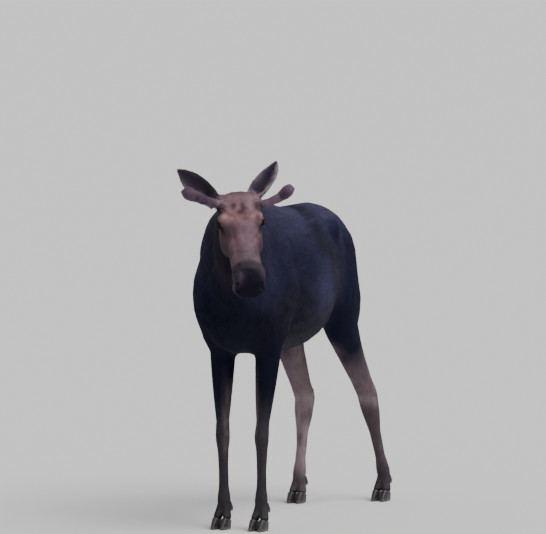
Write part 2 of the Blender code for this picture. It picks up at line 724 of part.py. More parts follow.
def body_cuts():
    """Every plate and dome that parts the flesh."""
    cuts = [slab(Vector(centre), normal, wide, high) for centre, normal, wide, high in (NECK_CUT, HEAD_CUT)]
    for side in (1, -1):
        for (x, y, z), radii, skirt in (FORE_DOME, HIND_DOME):
            cuts.append(dome(Vector((x * side, y, z)), radii, skirt))
    for name, joints in legs().items():
        at = Vector(joints[2])
        if name.startswith("hind"):
            at.y += HOCK_BEHIND
        line = (Vector(joints[3]) - Vector(joints[1])).normalized()
        cuts.append(slab(at, line, *KNEE_PLATE))
    return cuts


def middle(obj):
    points = [vertex.co for vertex in obj.data.vertices]
    return sum(points, Vector()) / len(points)


def anchors():
    """A point near the middle of every piece that the cuts leave, by name."""
    places = {
        "trunk": Vector((0.0, 0.60, 1.35)),
        "neck": Vector((0.10, -0.34, 1.62)),
        "head": on_head((0.12, 0, -0.04)),
    }
    for name, joints in legs().items():
        joints = [Vector(joint) for joint in joints]
        places[f"leg_{name}_upper"] = joints[1] + Vector((0, 0.03, -0.06))
        places[f"leg_{name}_lower"] = joints[2].lerp(joints[3], 0.55)
    return places


def name_pieces(pieces):
    """Names each piece after the nearest anchor. Two pieces never share one."""
    free = anchors()
    for piece in sorted(pieces, key=lambda piece: -len(piece.data.vertices)):
        name = min(free, key=lambda name: (free[name] - middle(piece)).length)
        piece.name = piece.data.name = name
        del free[name]


def stand_on_origin():
    """Moves the model so that the middle of its box is over the origin."""
    models = [obj for obj in bpy.data.objects if obj.type == "MESH"]
    points = [vertex.co for obj in models for vertex in obj.data.vertices]
    middles = [(min(p[axis] for p in points) + max(p[axis] for p in points)) / 2 for axis in (0, 1)]
    for obj in models:
        obj.data.transform(Matrix.Translation((-middles[0], -middles[1], 0.0)))


def finish():
    """Gives every piece its material and smooth shading between faces that nearly agree."""
    made = {}
    for slot, (colour, roughness) in MATERIALS.items():
        material = bpy.data.materials.new(slot)
        material.use_nodes = True
        shader = material.node_tree.nodes["Principled BSDF"]
        shader.inputs["Base Color"].default_value = (*colour, 1.0)
        shader.inputs["Roughness"].default_value = roughness
        shader.inputs["Metallic"].default_value = 0.0
        made[slot] = material
    for obj in bpy.data.objects:
        slot = next((slot for start, slot in SLOTS.items() if obj.name.startswith(start)), "coat")
        obj.data.materials.clear()
        obj.data.materials.append(made[slot])
        obj.data.shade_smooth()
        obj.data.set_sharp_from_angle(angle=SHARP_ANGLE)


def main():
    for obj in list(bpy.data.objects):
        bpy.data.objects.remove(obj)
    whole = flesh()
    for joints in legs().values():
        for side in (1, -1):
            cut(whole, claw(joints, side, above=True), "UNION")
    clear = swollen(whole, GAP)
    for leg_name, joints in legs().items():
        for side, label in ((1, "left"), (-1, "right")):
            name = f"{leg_name}_{label}"
            largest(claw(joints, side, above=False), f"hoof_{name}")
            largest(cut(dewclaw(joints, side), clear, keep_tool=True), f"dewclaw_{name}")
    for name in EARS:
        largest(cut(ear(name), clear, keep_tool=True), name)
    for side in (1, -1):
        antler(side, clear)
    largest(cut(tube("tail", TAIL, steps=2, count=TAIL_RING), clear), "tail")
    for side, name in ((1, "eye_left"), (-1, "eye_right")):
        centre = on_head(EYE_AT, side)
        ball(name, centre, (EYE_RADIUS,) * 3, segments=EYE_RING, rings=EYE_RINGS)
        cut(whole, ball("socket", centre, (EYE_RADIUS + GAP,) * 3, segments=EYE_RING, rings=EYE_RINGS))
    for tool in body_cuts():
        cut(whole, tool)
    name_pieces(loose_parts(whole))
    stand_on_origin()
    finish()


main()
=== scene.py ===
"""The looks of the life-size moose: one skin with a modelled head, and a coat of small solid tufts.

Metres, +Z up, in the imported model's own frame. The animal faces -Y and its left side is +X.
"""

import math

import bmesh
import bpy
import numpy as np
from mathutils import Matrix, Vector, noise
from mathutils.bvhtree import BVHTree


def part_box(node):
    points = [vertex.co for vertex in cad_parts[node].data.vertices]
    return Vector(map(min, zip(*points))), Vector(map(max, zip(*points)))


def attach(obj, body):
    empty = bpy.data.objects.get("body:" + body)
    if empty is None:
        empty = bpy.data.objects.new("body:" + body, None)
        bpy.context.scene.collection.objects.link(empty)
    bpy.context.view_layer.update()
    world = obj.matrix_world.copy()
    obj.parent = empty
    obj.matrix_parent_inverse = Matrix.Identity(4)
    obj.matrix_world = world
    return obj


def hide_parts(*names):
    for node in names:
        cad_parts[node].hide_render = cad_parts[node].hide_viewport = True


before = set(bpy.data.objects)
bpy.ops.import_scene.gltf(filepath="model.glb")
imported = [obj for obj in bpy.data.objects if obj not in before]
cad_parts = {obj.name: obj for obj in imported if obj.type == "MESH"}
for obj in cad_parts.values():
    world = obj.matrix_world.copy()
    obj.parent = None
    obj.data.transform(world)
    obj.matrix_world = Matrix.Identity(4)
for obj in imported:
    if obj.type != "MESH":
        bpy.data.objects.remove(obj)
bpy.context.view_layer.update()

RANDOM = np.random.default_rng(11)

# ---------- where things are
LEGS = ("fore_left", "fore_right", "hind_left", "hind_right")
EARS = ("ear_left", "ear_right")
LIMBS = [f"leg_{leg}_{part}" for leg in LEGS for part in ("upper", "lower")]
FLESH = ["head", "neck", "trunk", "tail", *EARS, *LIMBS]

HEAD_TURN, HEAD_DROP, HEAD_TILT = (math.radians(angle) for angle in (30.0, 50.4, 3.4))
EYE_AHEAD, EYE_ABOVE = -0.018, 0.004  # the eyes from the middle of the head's own frame
HEAD_IN_PART = np.array((0.242, -0.617, 1.742))  # that middle in the frame of the part's dimensions


def corner_middle(node):
    """The middle of a node's box."""
    low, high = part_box(node)
    return np.array((low + high) / 2)


def head_axes():
    """(along the nose, to the animal's left, up out of the forehead) as unit vectors."""
    ahead = Vector((math.sin(HEAD_TURN), -math.cos(HEAD_TURN), 0.0))
    left = Vector((math.cos(HEAD_TURN), math.sin(HEAD_TURN), 0.0))
    up = Vector((0.0, 0.0, 1.0))
    along = ahead * math.cos(HEAD_DROP) - up * math.sin(HEAD_DROP)
    out = ahead * math.sin(HEAD_DROP) + up * math.cos(HEAD_DROP)
    tilt = Matrix.Rotation(HEAD_TILT, 3, ahead)
    return [np.array(tilt @ axis) for axis in (along, left, out)]


ALONG, LEFT, OUT = head_axes()
HEAD_AXES = np.array((ALONG, LEFT, OUT))
EYE_AT = {1: corner_middle("eye_left"), -1: corner_middle("eye_right")}
HEAD_AT = (EYE_AT[1] + EYE_AT[-1]) / 2 - ALONG * EYE_AHEAD - OUT * EYE_ABOVE
SHIFT = HEAD_AT - HEAD_IN_PART


def on_head(along, left, up):
    """A point of the head's frame in the model's frame."""
    return HEAD_AT + ALONG * along + LEFT * left + OUT * up


def in_model(*points):
    """Points of the frame of the part's dimensions in the model's frame."""
    return np.array(points) + SHIFT


# Joints of the legs from the top down, the neck from the shoulders to the nape and the lobe under
# the throat, in the frame of the part's dimensions.
FORE = [(0.165, -0.12, 1.26), (0.136, 0.035, 0.99), (0.117, -0.014, 0.525), (0.112, -0.010, 0.158)]
JOINTS = {
    "fore_left": FORE,
    "fore_right": [(-x, y, z) for x, y, z in FORE],
    "hind_left": [(0.125, 1.10, 1.40), (0.172, 1.010, 1.04), (0.200, 1.388, 0.625), (0.256, 1.505, 0.160)],
    "hind_right": [(-0.125, 1.10, 1.40), (-0.158, 0.980, 1.04), (-0.152, 1.306, 0.598), (-0.160, 1.240, 0.160)],
}
JOINTS = {leg: in_model(*points) for leg, points in JOINTS.items()}
NECK_FROM, NECK_TO = in_model((0.0, 0.04, 1.44), (0.20, -0.56, 1.805))
BELL_TOP, BELL_TIP = in_model((0.180, -0.474, 1.64), (0.175, -0.464, 1.475))
EAR_LINES = {  # in the head's frame: root, direction of the tip, and the way the cup opens
    "ear_right": ((-0.180, -0.120, -0.020), (-0.78, -0.62, 0.076), (0.60, -0.02, 0.80)),
    "ear_left": ((-0.182, 0.107, -0.006), (-0.86, 0.50, -0.045), (-0.16, -0.30, 0.90)),
}
EAR_LENGTH = 0.290
ON_GROUND = (1, 1, 0)  # brings a point straight down to the floor
PEDICLES = (  # in the head's frame: where the stem of each antler starts, and the way it goes
    ((-0.100, 0.100, 0.041), (-0.009, 0.070, 0.010)),
    ((-0.106, -0.100, 0.049), (-0.020, -0.070, 0.020)),
)

# ---------- camera, light and floor
VIEW_AZIMUTH, VIEW_ELEVATION, VIEW_DISTANCE = math.radians(22.0), math.radians(5.0), 35.0
FRAME_WIDTH, FRAME_HEIGHT = 546, 534
PER_METRE = 180.0  # the scale of the picture at the animal
FEET_FROM_LEFT, FEET_FROM_TOP = 242.5, 529.0  # where the fore feet stand in the picture


def unit(v):
    return v / np.maximum(np.linalg.norm(v, axis=-1, keepdims=True), 1e-9)


def linked(name, data):
    """A new object in the scene."""
    made = bpy.data.objects.new(name, data)
    bpy.context.scene.collection.objects.link(made)
    return made


def look_from(obj, place, target):
    """Stands a camera or light at place, turned towards target."""
    obj.location = place
    obj.rotation_euler = (Vector(target) - Vector(place)).to_track_quat("-Z", "Y").to_euler()


def camera():
    turn, lift = VIEW_AZIMUTH, VIEW_ELEVATION
    back = np.array((math.sin(turn) * math.cos(lift), -math.cos(turn) * math.cos(lift), math.sin(lift)))
    right = np.array((math.cos(turn), math.sin(turn), 0.0))
    up = np.cross(back, right)
    feet = (JOINTS["fore_left"][3] + JOINTS["fore_right"][3]) / 2 * ON_GROUND
    target = feet + right * ((FRAME_WIDTH / 2 - FEET_FROM_LEFT) / PER_METRE)
    target = target + up * ((FEET_FROM_TOP - FRAME_HEIGHT / 2) / PER_METRE)
    data = bpy.data.cameras.new("camera")
    data.sensor_fit = "HORIZONTAL"
    data.angle = 2 * math.atan(FRAME_WIDTH / PER_METRE / 2 / VIEW_DISTANCE)
    data.clip_end = 1000.0
    made = linked("camera", data)
    look_from(made, target + back * VIEW_DISTANCE, target)
    bpy.context.scene.camera = made


def lights():
    world = bpy.data.worlds.new("studio")
    bpy.context.scene.world = world
    world.use_nodes = True
    settle(world.node_tree.nodes["Background"], Color=(0.95, 0.97, 1.0, 1.0), Strength=0.62)
    data = bpy.data.lights.new("key", "SUN")
    data.energy = 2.7
    data.angle = math.radians(45)
    data.color = (1.0, 0.985, 0.96)
    look_from(linked("key", data), (3.4, -0.9, 6.0), (0, 0, 1))


def floor():
    mesh = bmesh.new()
    bmesh.ops.create_circle(mesh, cap_ends=True, segments=64, radius=400.0)
    made = as_object("floor", mesh)
    material, shader, _ = new_material("floor")
    settle(shader, **{"Base Color": (0.74, 0.74, 0.73, 1.0), "Roughness": 0.9})
    made.data.materials.append(material)


# ---------- meshes
def as_object(name, mesh):
    """An object of a bmesh, which is freed."""
    data = bpy.data.meshes.new(name)
    mesh.to_mesh(data)
    mesh.free()
    return linked(name, data)


def node_mesh(names, grow=0.0):
    """The CAD nodes of these names welded into one bmesh, pushed out by grow."""
    mesh = bmesh.new()
    for name in names:
        mesh.from_mesh(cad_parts[name].data)
    bmesh.ops.remove_doubles(mesh, verts=mesh.verts, dist=2e-5)
    mesh.normal_update()
    for vertex in mesh.verts:
        vertex.co += vertex.normal * grow
    return mesh


def apply(obj, kind, **settings):
    """Adds a modifier and applies it."""
    modifier = obj.modifiers.new(kind.title(), kind)
    for key, value in settings.items():
        setattr(modifier, key, value)
    graph = bpy.context.evaluated_depsgraph_get()
    mesh = bpy.data.meshes.new_from_object(obj.evaluated_get(graph))
    obj.modifiers.clear()
    old = obj.data
    obj.data = mesh
    bpy.data.meshes.remove(old)
    return obj


def read(collection, key, width, kind=np.float64):
    values = np.empty(len(collection) * width, kind)
    collection.foreach_get(key, values)
    return values.reshape(-1, width) if width > 1 else values


def places(obj):
    return read(obj.data.vertices, "co", 3)


def put(obj, points):
    obj.data.vertices.foreach_set("co", np.asarray(points, np.float32).ravel())
    obj.data.update()


def edges_of(obj):
    return read(obj.data.edges, "vertices", 2, np.int32)


def triangles_of(obj):
    obj.data.calc_loop_triangles()
    return read(obj.data.loop_triangles, "vertices", 3, np.int32)


def normals_of(points, triangles):
    """Vertex normals weighted by area."""
    a, b, c = (points[triangles[:, i]] for i in range(3))
    across = np.cross(b - a, c - a)
    total = np.zeros_like(points)
    for axis in range(3):
        for corner in range(3):
            total[:, axis] += np.bincount(triangles[:, corner], across[:, axis], len(points))
    return unit(total)


def spread(values, edges, steps, share=0.5):
    """Averages values with their neighbours', a few steps. share may differ from vertex to vertex."""
    values = np.array(values, float)
    flat = values.reshape(len(values), -1)
    count = len(flat)
    one, other = edges.T
    degree = np.maximum(np.bincount(one, minlength=count) + np.bincount(other, minlength=count), 1)
    share = np.broadcast_to(share, (count,))
    for _ in range(steps):
        for column in range(flat.shape[1]):
            value = flat[:, column]
            near = np.bincount(one, value[other], count) + np.bincount(other, value[one], count)
            flat[:, column] = value + (near / degree - value) * share
    return flat.reshape(values.shape)


def step(low, high, x):
    """0 below low, 1 above high, smooth between. low may be the larger."""
    t = np.clip((x - low) / (high - low), 0, 1)
    return t * t * (3 - 2 * t)


def bell(x, middle, width):
    """1 at middle, falling off smoothly to about 0 a few widths away."""
    return np.exp(-(((x - middle) / width) ** 2))


def mottle(points, size, seed=0.0):
    """Smooth noise, about -1 to 1, with blotches of about this size."""
    shift = Vector((seed, seed * 1.7, -seed))
    return np.array([noise.noise(Vector(point) / size + shift) for point in points]) * 1.6


def off_line(points, start, end):
    """(share of the way from start to end, distance from that line) of each point."""
    start, end = np.array(start), np.array(end)
    line = end - start
    share = ((points - start) @ line) / (line @ line)
    foot = start + np.clip(share, 0, 1)[:, None] * line
    return share, np.linalg.norm(points - foot, axis=1)


# ---------- the skin
SKIN_VOXEL = 0.0042
EAR_GROWN = 0.0016  # so that the ears' thin walls survive the remesh
HEAD_SMOOTHING, BODY_SMOOTHING = 7, 34
BODY_TRIANGLES = 46000
EYE_RADIUS = 0.0205
EYE_SUNK = 0.0022  # how far behind the middle of its node each eyeball sits
LID = 0.0036  # how far the lids stand off the eyeball
HEAD_REACH = (0.05, 0.31)  # the finely meshed part: middle in front of the eyes, and radius
HAMS = [  # flesh down the back of each thigh: from, to, and the radius at both ends
    ((0.075, 1.247, 1.36), (0.105, 1.222, 1.20), 0.100, 0.090),
    ((0.105, 1.222, 1.20), (0.160, 1.158, 0.99), 0.090, 0.068),
    ((-0.075, 1.247, 1.36), (-0.105, 1.218, 1.20), 0.100, 0.090),
    ((-0.105, 1.218, 1.20), (-0.155, 1.120, 0.99), 0.090, 0.066),
]


def head_frame(points):
    """Points in the head's frame: (along, left, up)."""
    return (points - HEAD_AT) @ HEAD_AXES.T


def near_head(points):
    """How much a point belongs to the head or the ears: 1 there, 0 behind the nape."""
    ahead, radius = HEAD_REACH
    return step(radius + 0.08, radius - 0.02, np.linalg.norm(points - on_head(ahead, 0, 0), axis=1))


def raw_skin():
    """One closed skin through every node of flesh, finely meshed on the head and the ears."""
    mesh = node_mesh([name for name in FLESH if name not in EARS])
    ears = bpy.data.meshes.new("ears")
    grown = node_mesh(EARS, EAR_GROWN)
    grown.to_mesh(ears)
    grown.free()
    mesh.from_mesh(ears)
    bpy.data.meshes.remove(ears)
    for side in (1, -1):
        place = Matrix.Translation(EYE_AT[side])
        bmesh.ops.create_uvsphere(mesh, u_segments=32, v_segments=20, radius=EYE_RADIUS + LID, matrix=place)
    for start, end, thick, thin in HAMS:
        for share in np.linspace(0, 1, 9):
            place = Matrix.Translation(np.array(start) * (1 - share) + np.array(end) * share + SHIFT)
            radius = thick * (1 - share) + thin * share
            bmesh.ops.create_uvsphere(mesh, u_segments=24, v_segments=16, radius=radius, matrix=place)
    skin = as_object("skin", mesh)
    apply(skin, "REMESH", mode="VOXEL", voxel_size=SKIN_VOXEL)
    points, edges = places(skin), edges_of(skin)
    points = spread(points, edges, HEAD_SMOOTHING)
    fine = near_head(points)
    points = spread(points, edges, BODY_SMOOTHING, 0.5 * (1 - fine))
    put(skin, points)
    group = skin.vertex_groups.new(name="body")
    group.add([int(i) for i in np.flatnonzero(fine < 0.5)], 1.0, "REPLACE")
    triangles = len(triangles_of(skin))
    kept = BODY_TRIANGLES + 2.0 * np.count_nonzero(fine >= 0.5)
    apply(skin, "DECIMATE", ratio=kept / triangles, vertex_group="body", use_collapse_triangulate=True)
    skin.vertex_groups.clear()
    return skin


def refined(skin, spots):
    """Halves the edges near each (place, radius) spot, so that small folds can be modelled there."""
    mesh = bmesh.new()
    mesh.from_mesh(skin.data)
    for middles, radius in spots:
        points = np.array([vertex.co for vertex in mesh.verts])
        near = np.zeros(len(points), bool)
        for middle in middles:
            near |= np.linalg.norm(points - middle, axis=1) < radius
        mesh.verts.ensure_lookup_table()
        edges = [edge for edge in mesh.edges if near[edge.verts[0].index] and near[edge.verts[1].index]]
        bmesh.ops.subdivide_edges(mesh, edges=edges, cuts=1, use_grid_fill=True)
        bmesh.ops.triangulate(mesh, faces=[face for face in mesh.faces if len(face.verts) > 3])
        mesh.verts.index_update()
    mesh.to_mesh(skin.data)
    mesh.free()


NOSTRIL = ((0.330, 0.056, 0.018), (0.386, 0.066, -0.040))  # its upper and lower end in the head's frame
MOUTH = ((0.385, 0.052, -0.112), (0.215, 0.064, -0.094))  # the corner line of the lips, front to back
EYE_AXES = {}
for side in (1, -1):
    gaze = unit(LEFT * side * 0.90 + ALONG * 0.30 + OUT * 0.16)
    level = unit(ALONG * 0.96 - OUT * 0.16 - gaze * ((ALONG * 0.96 - OUT * 0.16) @ gaze))
    EYE_AXES[side] = (gaze, level, np.cross(level, gaze) * side)
EYE_WIDE, EYE_HIGH = 0.86, 0.50  # half width and half height of the opening, in eye radii
LID_REACH = 0.016  # how far from the eyeball the lids go


def round_eye(points, side):
    """(way from the eye's middle, distance, height on the eye, how far outside the opening) of points.

    The last is in eye radii, negative between the lids and large behind the eye.
    """
    gaze, level, upward = EYE_AXES[side]
    offset = points - EYE_AT[side]
    distance = np.linalg.norm(offset, axis=1)
    way = offset / np.maximum(distance, 1e-6)[:, None]
    x, y = way @ level, way @ upward
    reach = np.clip(1 - (np.abs(x) / EYE_WIDE) ** 1.9, -0.25, None)
    edge = np.where(y > 0, EYE_HIGH * 1.10, EYE_HIGH * 0.84) * reach
    outside = np.abs(y) - edge
    return way, distance, y, np.where(way @ gaze > 0.1, outside, 2.0)


def lids(points):
    """The eyelids: skin over the eyeball, drawn back behind its surface inside an almond opening."""
    for side in (1, -1):
        way, distance, y, outside = round_eye(points, side)
        near = distance < EYE_RADIUS + LID_REACH
        inside = step(0.05, -0.05, outside)
        rim = bell(outside, 0.13, 0.10) * near
        fold = bell(outside, 0.46, 0.09) * (y > 0) * near
        fold = fold + 0.6 * bell(outside, 0.40, 0.08) * (y < 0) * near
        pulled = np.where(near, inside, 0) * np.maximum(distance - EYE_RADIUS + 0.0062, 0)
        points = points + way * (rim * 0.0016 - fold * 0.0018 - pulled)[:, None]
    return points


BUMPS = (  # swellings and pits of the face: height, then middle and width along, aside and up
    (0.005, (-0.046, 0.024), (0.098, 0.03), (0.034, 0.020)),  # brow
    (-0.0045, (0.040, 0.026), (0.100, 0.03), (-0.010, 0.010)),  # tear pit
    (-0.0030, (0.120, 0.05), (0.088, 0.03), (-0.040, 0.016)),  # under the cheekbone
)


def features(points):
    """(nostrils, lips, brows and wrinkles as pushes along the normal, weight of the nostrils)."""
    a, l, o = head_frame(points).T
    side = np.abs(l)
    mirrored = np.stack((a, side, o), 1)
    share, away = off_line(mirrored, *NOSTRIL)
    width = 0.0075 + 0.0065 * np.clip(share, 0, 1)
    hole = step(1.25, 0.55, away / width)
    push = 0.0042 * bell(away / width, 1.75, 0.5) * (side > 0.02) - 0.016 * hole
    share, away = off_line(mirrored, *MOUTH)
    push -= 0.0055 * bell(away, 0, 0.0042)
    push += 0.0022 * bell(away, 0.011, 0.006) * step(-0.1, 0.1, share)
    for height, along, aside, up in BUMPS:
        push += height * bell(a, *along) * bell(side, *aside) * bell(o, *up)
    push += 0.0090 * bell(a, 0.200, 0.05) * bell(o, -0.080, 0.035) * step(0.04, 0.07, side)  # lips' corners
    push -= 0.0110 * step(0.340, 0.400, a) * step(-0.045, -0.100, o) * step(0.030, 0.065, side)  # chin
    cheekbone = bell(a, 0.070, 0.07) * bell(side, 0.096, 0.03) * bell(o, -0.008, 0.012)
    push += 0.0035 * cheekbone * step(0.0, 0.03, a)
    push -= 0.0040 * bell(l, 0, 0.010) * step(0.385, 0.415, a)  # the cleft of the upper lip
    ripple = np.sin(a * 330 + 3 * np.sin(side * 60)) * bell(a, 0.245, 0.030) * step(0.045, 0.075, side)
    push += 0.0011 * ripple * step(0.03, -0.02, o)
    push += 0.0008 * np.sin(o * 420 + side * 90) * bell(a, 0.30, 0.03) * step(0.05, 0.08, side)
    return push, hole


GROOVES = [  # hollows of the body's left side in the part's frame: start, end, width, depth
    ((0.24, 0.20, 1.66), (0.26, 0.19, 1.12), 0.050, 0.010),  # behind the shoulder
    ((0.19, 0.84, 1.60), (0.24, 0.80, 1.44), 0.060, 0.010),  # in front of the hip
    ((0.25, 0.86, 1.40), (0.22, 0.84, 1.06), 0.040, 0.014),  # between belly and thigh
    ((0.16, -0.20, 1.52), (0.20, -0.10, 1.10), 0.045, 0.004),  # between neck and shoulder
    ((0.17, 1.22, 1.50), (0.20, 1.20, 1.10), 0.050, 0.008),  # back of the thigh
    ((0.12, 1.16, 1.62), (0.16, 1.20, 1.48), 0.090, -0.014),  # the rump is fuller
    ((0.20, -0.20, 1.42), (0.22, -0.16, 1.16), 0.080, -0.009),  # and so is the point of the shoulder
]


def relief(points):
    """Hollows between the masses of shoulder, barrel and thigh, as pushes along the normal."""
    mirrored = points - SHIFT
    mirrored[:, 0] = np.abs(mirrored[:, 0])
    push = np.zeros(len(points))
    for start, end, width, depth in GROOVES:
        push -= depth * bell(off_line(mirrored, start, end)[1], 0, width)
    return push


def on_lines(line, count):
    """Points of both sides along a line given in the head's frame."""
    start, end = np.array(line[0]), np.array(line[1])
    spots = [start + (end - start) * share for share in np.linspace(0, 1, count)]
    return [on_head(along, left * side, up) for side in (1, -1) for along, left, up in spots]


def skin_of_moose():
    """The skin, with finer edges round the eyes, the nostrils and the mouth."""
    skin = raw_skin()
    eyes_at, nostrils, lips = list(EYE_AT.values()), on_lines(NOSTRIL, 3), on_lines(MOUTH, 12)
    refined(skin, ((eyes_at + nostrils, 0.040), (eyes_at, 0.031), (nostrils + lips, 0.020)))
    return skin


# ---------- regions of the body
def region_of(node):
    """The key of a node in TUFTS and BASE."""
    if node.startswith("ear"):
        return "ear"
    if node.startswith("leg"):
        _, pair, _, part = node.split("_")
        return f"{pair}_{part}"
    return node


def nearest_nodes(points):
    """For each point, the index in FLESH of the node whose surface is nearest."""
    corners, faces, owners = [], [], []
    for index, name in enumerate(FLESH):
        mesh = node_mesh([name])
        start = len(corners)
        corners += [vertex.co.copy() for vertex in mesh.verts]
        faces += [[start + vertex.index for vertex in face.verts] for face in mesh.faces]
        owners += [index] * len(mesh.faces)
        mesh.free()
    tree = BVHTree.FromPolygons(corners, faces)
    return np.array([owners[tree.find_nearest(Vector(point))[2]] for point in points])


def off_stems(points):
    """(the way it goes, how far each point is from it) of the stem of each antler."""
    for root, line in PEDICLES:
        base, beam = on_head(*root), unit(np.array(line) @ HEAD_AXES)
        yield beam, off_line(points, base, base + beam * 0.1)[1]


def stem_weight(points):
    """1 round the stems of the antlers, 0 away from them."""
    return np.maximum.reduce([step(0.058, 0.034, away) for _, away in off_stems(points)])


def ear_lines(name):
    """(root, way to the tip, way the cup opens) of an ear in the model's frame."""
    root, tip, opening = EAR_LINES[name]
    return on_head(*root), unit(np.array(tip) @ HEAD_AXES), np.array(opening) @ HEAD_AXES


def among(nodes, *names):
    """Which vertices are nearest to nodes of these names, or of names that start like these."""
    return np.isin(nodes, [index for index, name in enumerate(FLESH) if name.startswith(names)])


def leg_lie(points, joints):
    """Down the bones of a leg, bending from one to the next."""
    way = np.zeros_like(points)
    weight = np.zeros(len(points))
    for start, end in zip(joints[1:], joints[2:]):
        near = bell(off_line(points, start, end)[1], 0, 0.09) + 1e-6
        way += unit(end - start) * near[:, None]
        weight += near
    return unit(way / weight[:, None])


def trunk_lie(y, z, normals):
    """Backwards and a little down, and downwards on the breast and the haunch."""
    down = 0.12 + 0.75 * step(1.80, 1.45, z) * step(0.55, 0.05, y) + 0.30 * step(1.8, 1.4, z)
    down += 1.0 * step(0.80, 1.15, y) * step(1.75, 1.5, z)
    down *= step(0.94, 1.08, z) * 0.8 + 0.2
    chest = step(-0.3, -0.8, normals[:, 1])
    return np.stack((0 * down, 1.0 - 0.9 * chest, -down - 1.4 * chest), 1)


def lie_of_coat(points, normals, nodes):
    """The way the hair points at each vertex, before it is laid along the skin."""
    way = np.zeros_like(points)
    for index, name in enumerate(FLESH):
        mine = nodes == index
        p, n = points[mine], normals[mine]
        _, y, z = (p - SHIFT).T
        if name == "trunk":
            way[mine] = trunk_lie(y, z, n)
        elif name == "neck":
            way[mine] = unit(NECK_FROM - NECK_TO) + np.array((0, 0, -0.55)) * step(0.6, -0.2, n[:, 2])[:, None]
        elif name == "tail":
            way[mine] = (0, 0.15, -1)
        elif name == "head":
            a, l, o = head_frame(p).T
            down_face = step(-0.085, -0.055, a) * 2 - 1
            sideways = np.clip(l / 0.05, -1, 1) * bell(a, -0.07, 0.05)
            cheek = step(0.060, 0.085, np.abs(l)) * step(0.02, -0.05, o)
            ahead = down_face * (1 - cheek) - 0.7 * cheek
            lower = -1.0 * cheek - 0.35 * step(0.02, 0.08, np.abs(l))
            flow = ALONG * ahead[:, None] + LEFT * sideways[:, None] + OUT * lower[:, None]
            for beam, away in off_stems(p):
                near = step(0.062, 0.036, away)[:, None]
                flow = flow * (1 - near) + beam * near * 1.6
            way[mine] = flow
        elif name in EARS:
            root, axis, _ = ear_lines(name)
            aside = (p - root) - ((p - root) @ axis)[:, None] * axis
            way[mine] = axis + unit(aside) * 0.45
        else:
            _, pair, side, _ = name.split("_")
            up = step(1.10, 1.30, z)[:, None]
            way[mine] = leg_lie(p, JOINTS[f"{pair}_{side}"]) * (1 - up) + trunk_lie(y, z, n) * up
    share, away = off_line(points, BELL_TOP, BELL_TIP)
    hang = (step(0.075, 0.045, away) * step(-0.2, 0.1, share))[:, None]
    return way * (1 - hang) + np.array((0, 0, -1.0)) * hang


# Length, width and rise of the tufts of each region in millimetres, and how many lie over each spot.
TUFTS = {
    "head": (12.0, 2.6, 1.9, 2.6),
    "neck": (34.0, 4.4, 4.2, 3.3),
    "trunk": (32.0, 4.8, 3.0, 2.9),
    "tail": (34.0, 4.0, 7.0, 3.2),
    "ear": (12.0, 2.5, 1.8, 2.5),
    "fore_upper": (24.0, 3.8, 2.8, 2.8),
    "fore_lower": (12.0, 2.7, 1.9, 2.4),
    "hind_upper": (25.0, 3.8, 2.8, 2.8),
    "hind_lower": (12.0, 2.7, 1.9, 2.4),
}
BELL_TUFT = (0, 48), (2, 6)  # length and rise on the lobe under the throat


def tuft_sizes(points, normals, nodes, edges):
    """Length, width, rise (m) and cover at each vertex, smooth from region to region."""
    sizes = spread(np.array([TUFTS[region_of(name)] for name in FLESH])[nodes], edges, 14)

    def times(*factors):
        sizes[:, :3] *= np.stack(np.broadcast_arrays(*factors), 1)

    _, y, z = (points - SHIFT).T
    a, _, o = head_frame(points).T
    up = normals[:, 2]
    trunk, neck, face = (among(nodes, name) for name in ("trunk", "neck", "head"))
    crest = step(0.35, 0.9, up) * step(0.62, 0.30, y) * (trunk | neck)
    crest *= step(-0.50, -0.20, y) * 0.6 + 0.4
    belly = step(-0.5, -0.95, up) * trunk
    throat = step(0.1, -0.7, up) * neck
    times(1 + 0.75 * crest + 0.25 * belly + 0.25 * throat, 1, 1 + 0.9 * crest + 0.2 * belly + 0.2 * throat)
    share, away = off_line(points, BELL_TOP, BELL_TIP)
    lobe = step(0.070, 0.040, away) * step(-0.1, 0.2, share)
    for column, size in BELL_TUFT:
        sizes[:, column] = sizes[:, column] * (1 - lobe) + size * lobe
    muzzle = step(0.17, 0.30, a) * face
    times(1 - 0.42 * muzzle, 1 - 0.22 * muzzle, 1 - 0.55 * muzzle)
    brow = bell(a, -0.08, 0.07) * step(0.03, 0.06, o) * face
    nape = step(-0.06, -0.14, a) * face
    times(1 + 0.45 * brow + 0.9 * nape, 1, 1 + 0.8 * brow + 1.2 * nape)
    stems = stem_weight(points) * face
    times(1 + 0.45 * stems, 1, 1 + 0.5 * stems)
    off_eye, opening = np.full((2, len(points)), 9.0)
    for side in (1, -1):
        _, distance, _, outside = round_eye(points, side)
        off_eye = np.minimum(off_eye, distance)
        opening = np.where(distance < EYE_RADIUS + LID_REACH, outside, opening)
    close = step(0.050, 0.026, off_eye)
    times(1 - 0.60 * close, 1 - 0.35 * close, 1 - 0.60 * close)
    foot = step(0.22, 0.10, z)
    times(1 - 0.35 * foot, 1, 1 - 0.35 * foot)
    sizes[:, 3] *= step(0.10, 0.26, opening)
    sizes[:, :3] /= 1000
    return sizes


# ---------- colours
def tone(red, green, blue):
    """A colour given as on a screen, in linear light."""
    value = np.array((red, green, blue)) / 255
    return np.where(value <= 0.04045, value / 12.92, ((value + 0.055) / 1.055) ** 2.4)


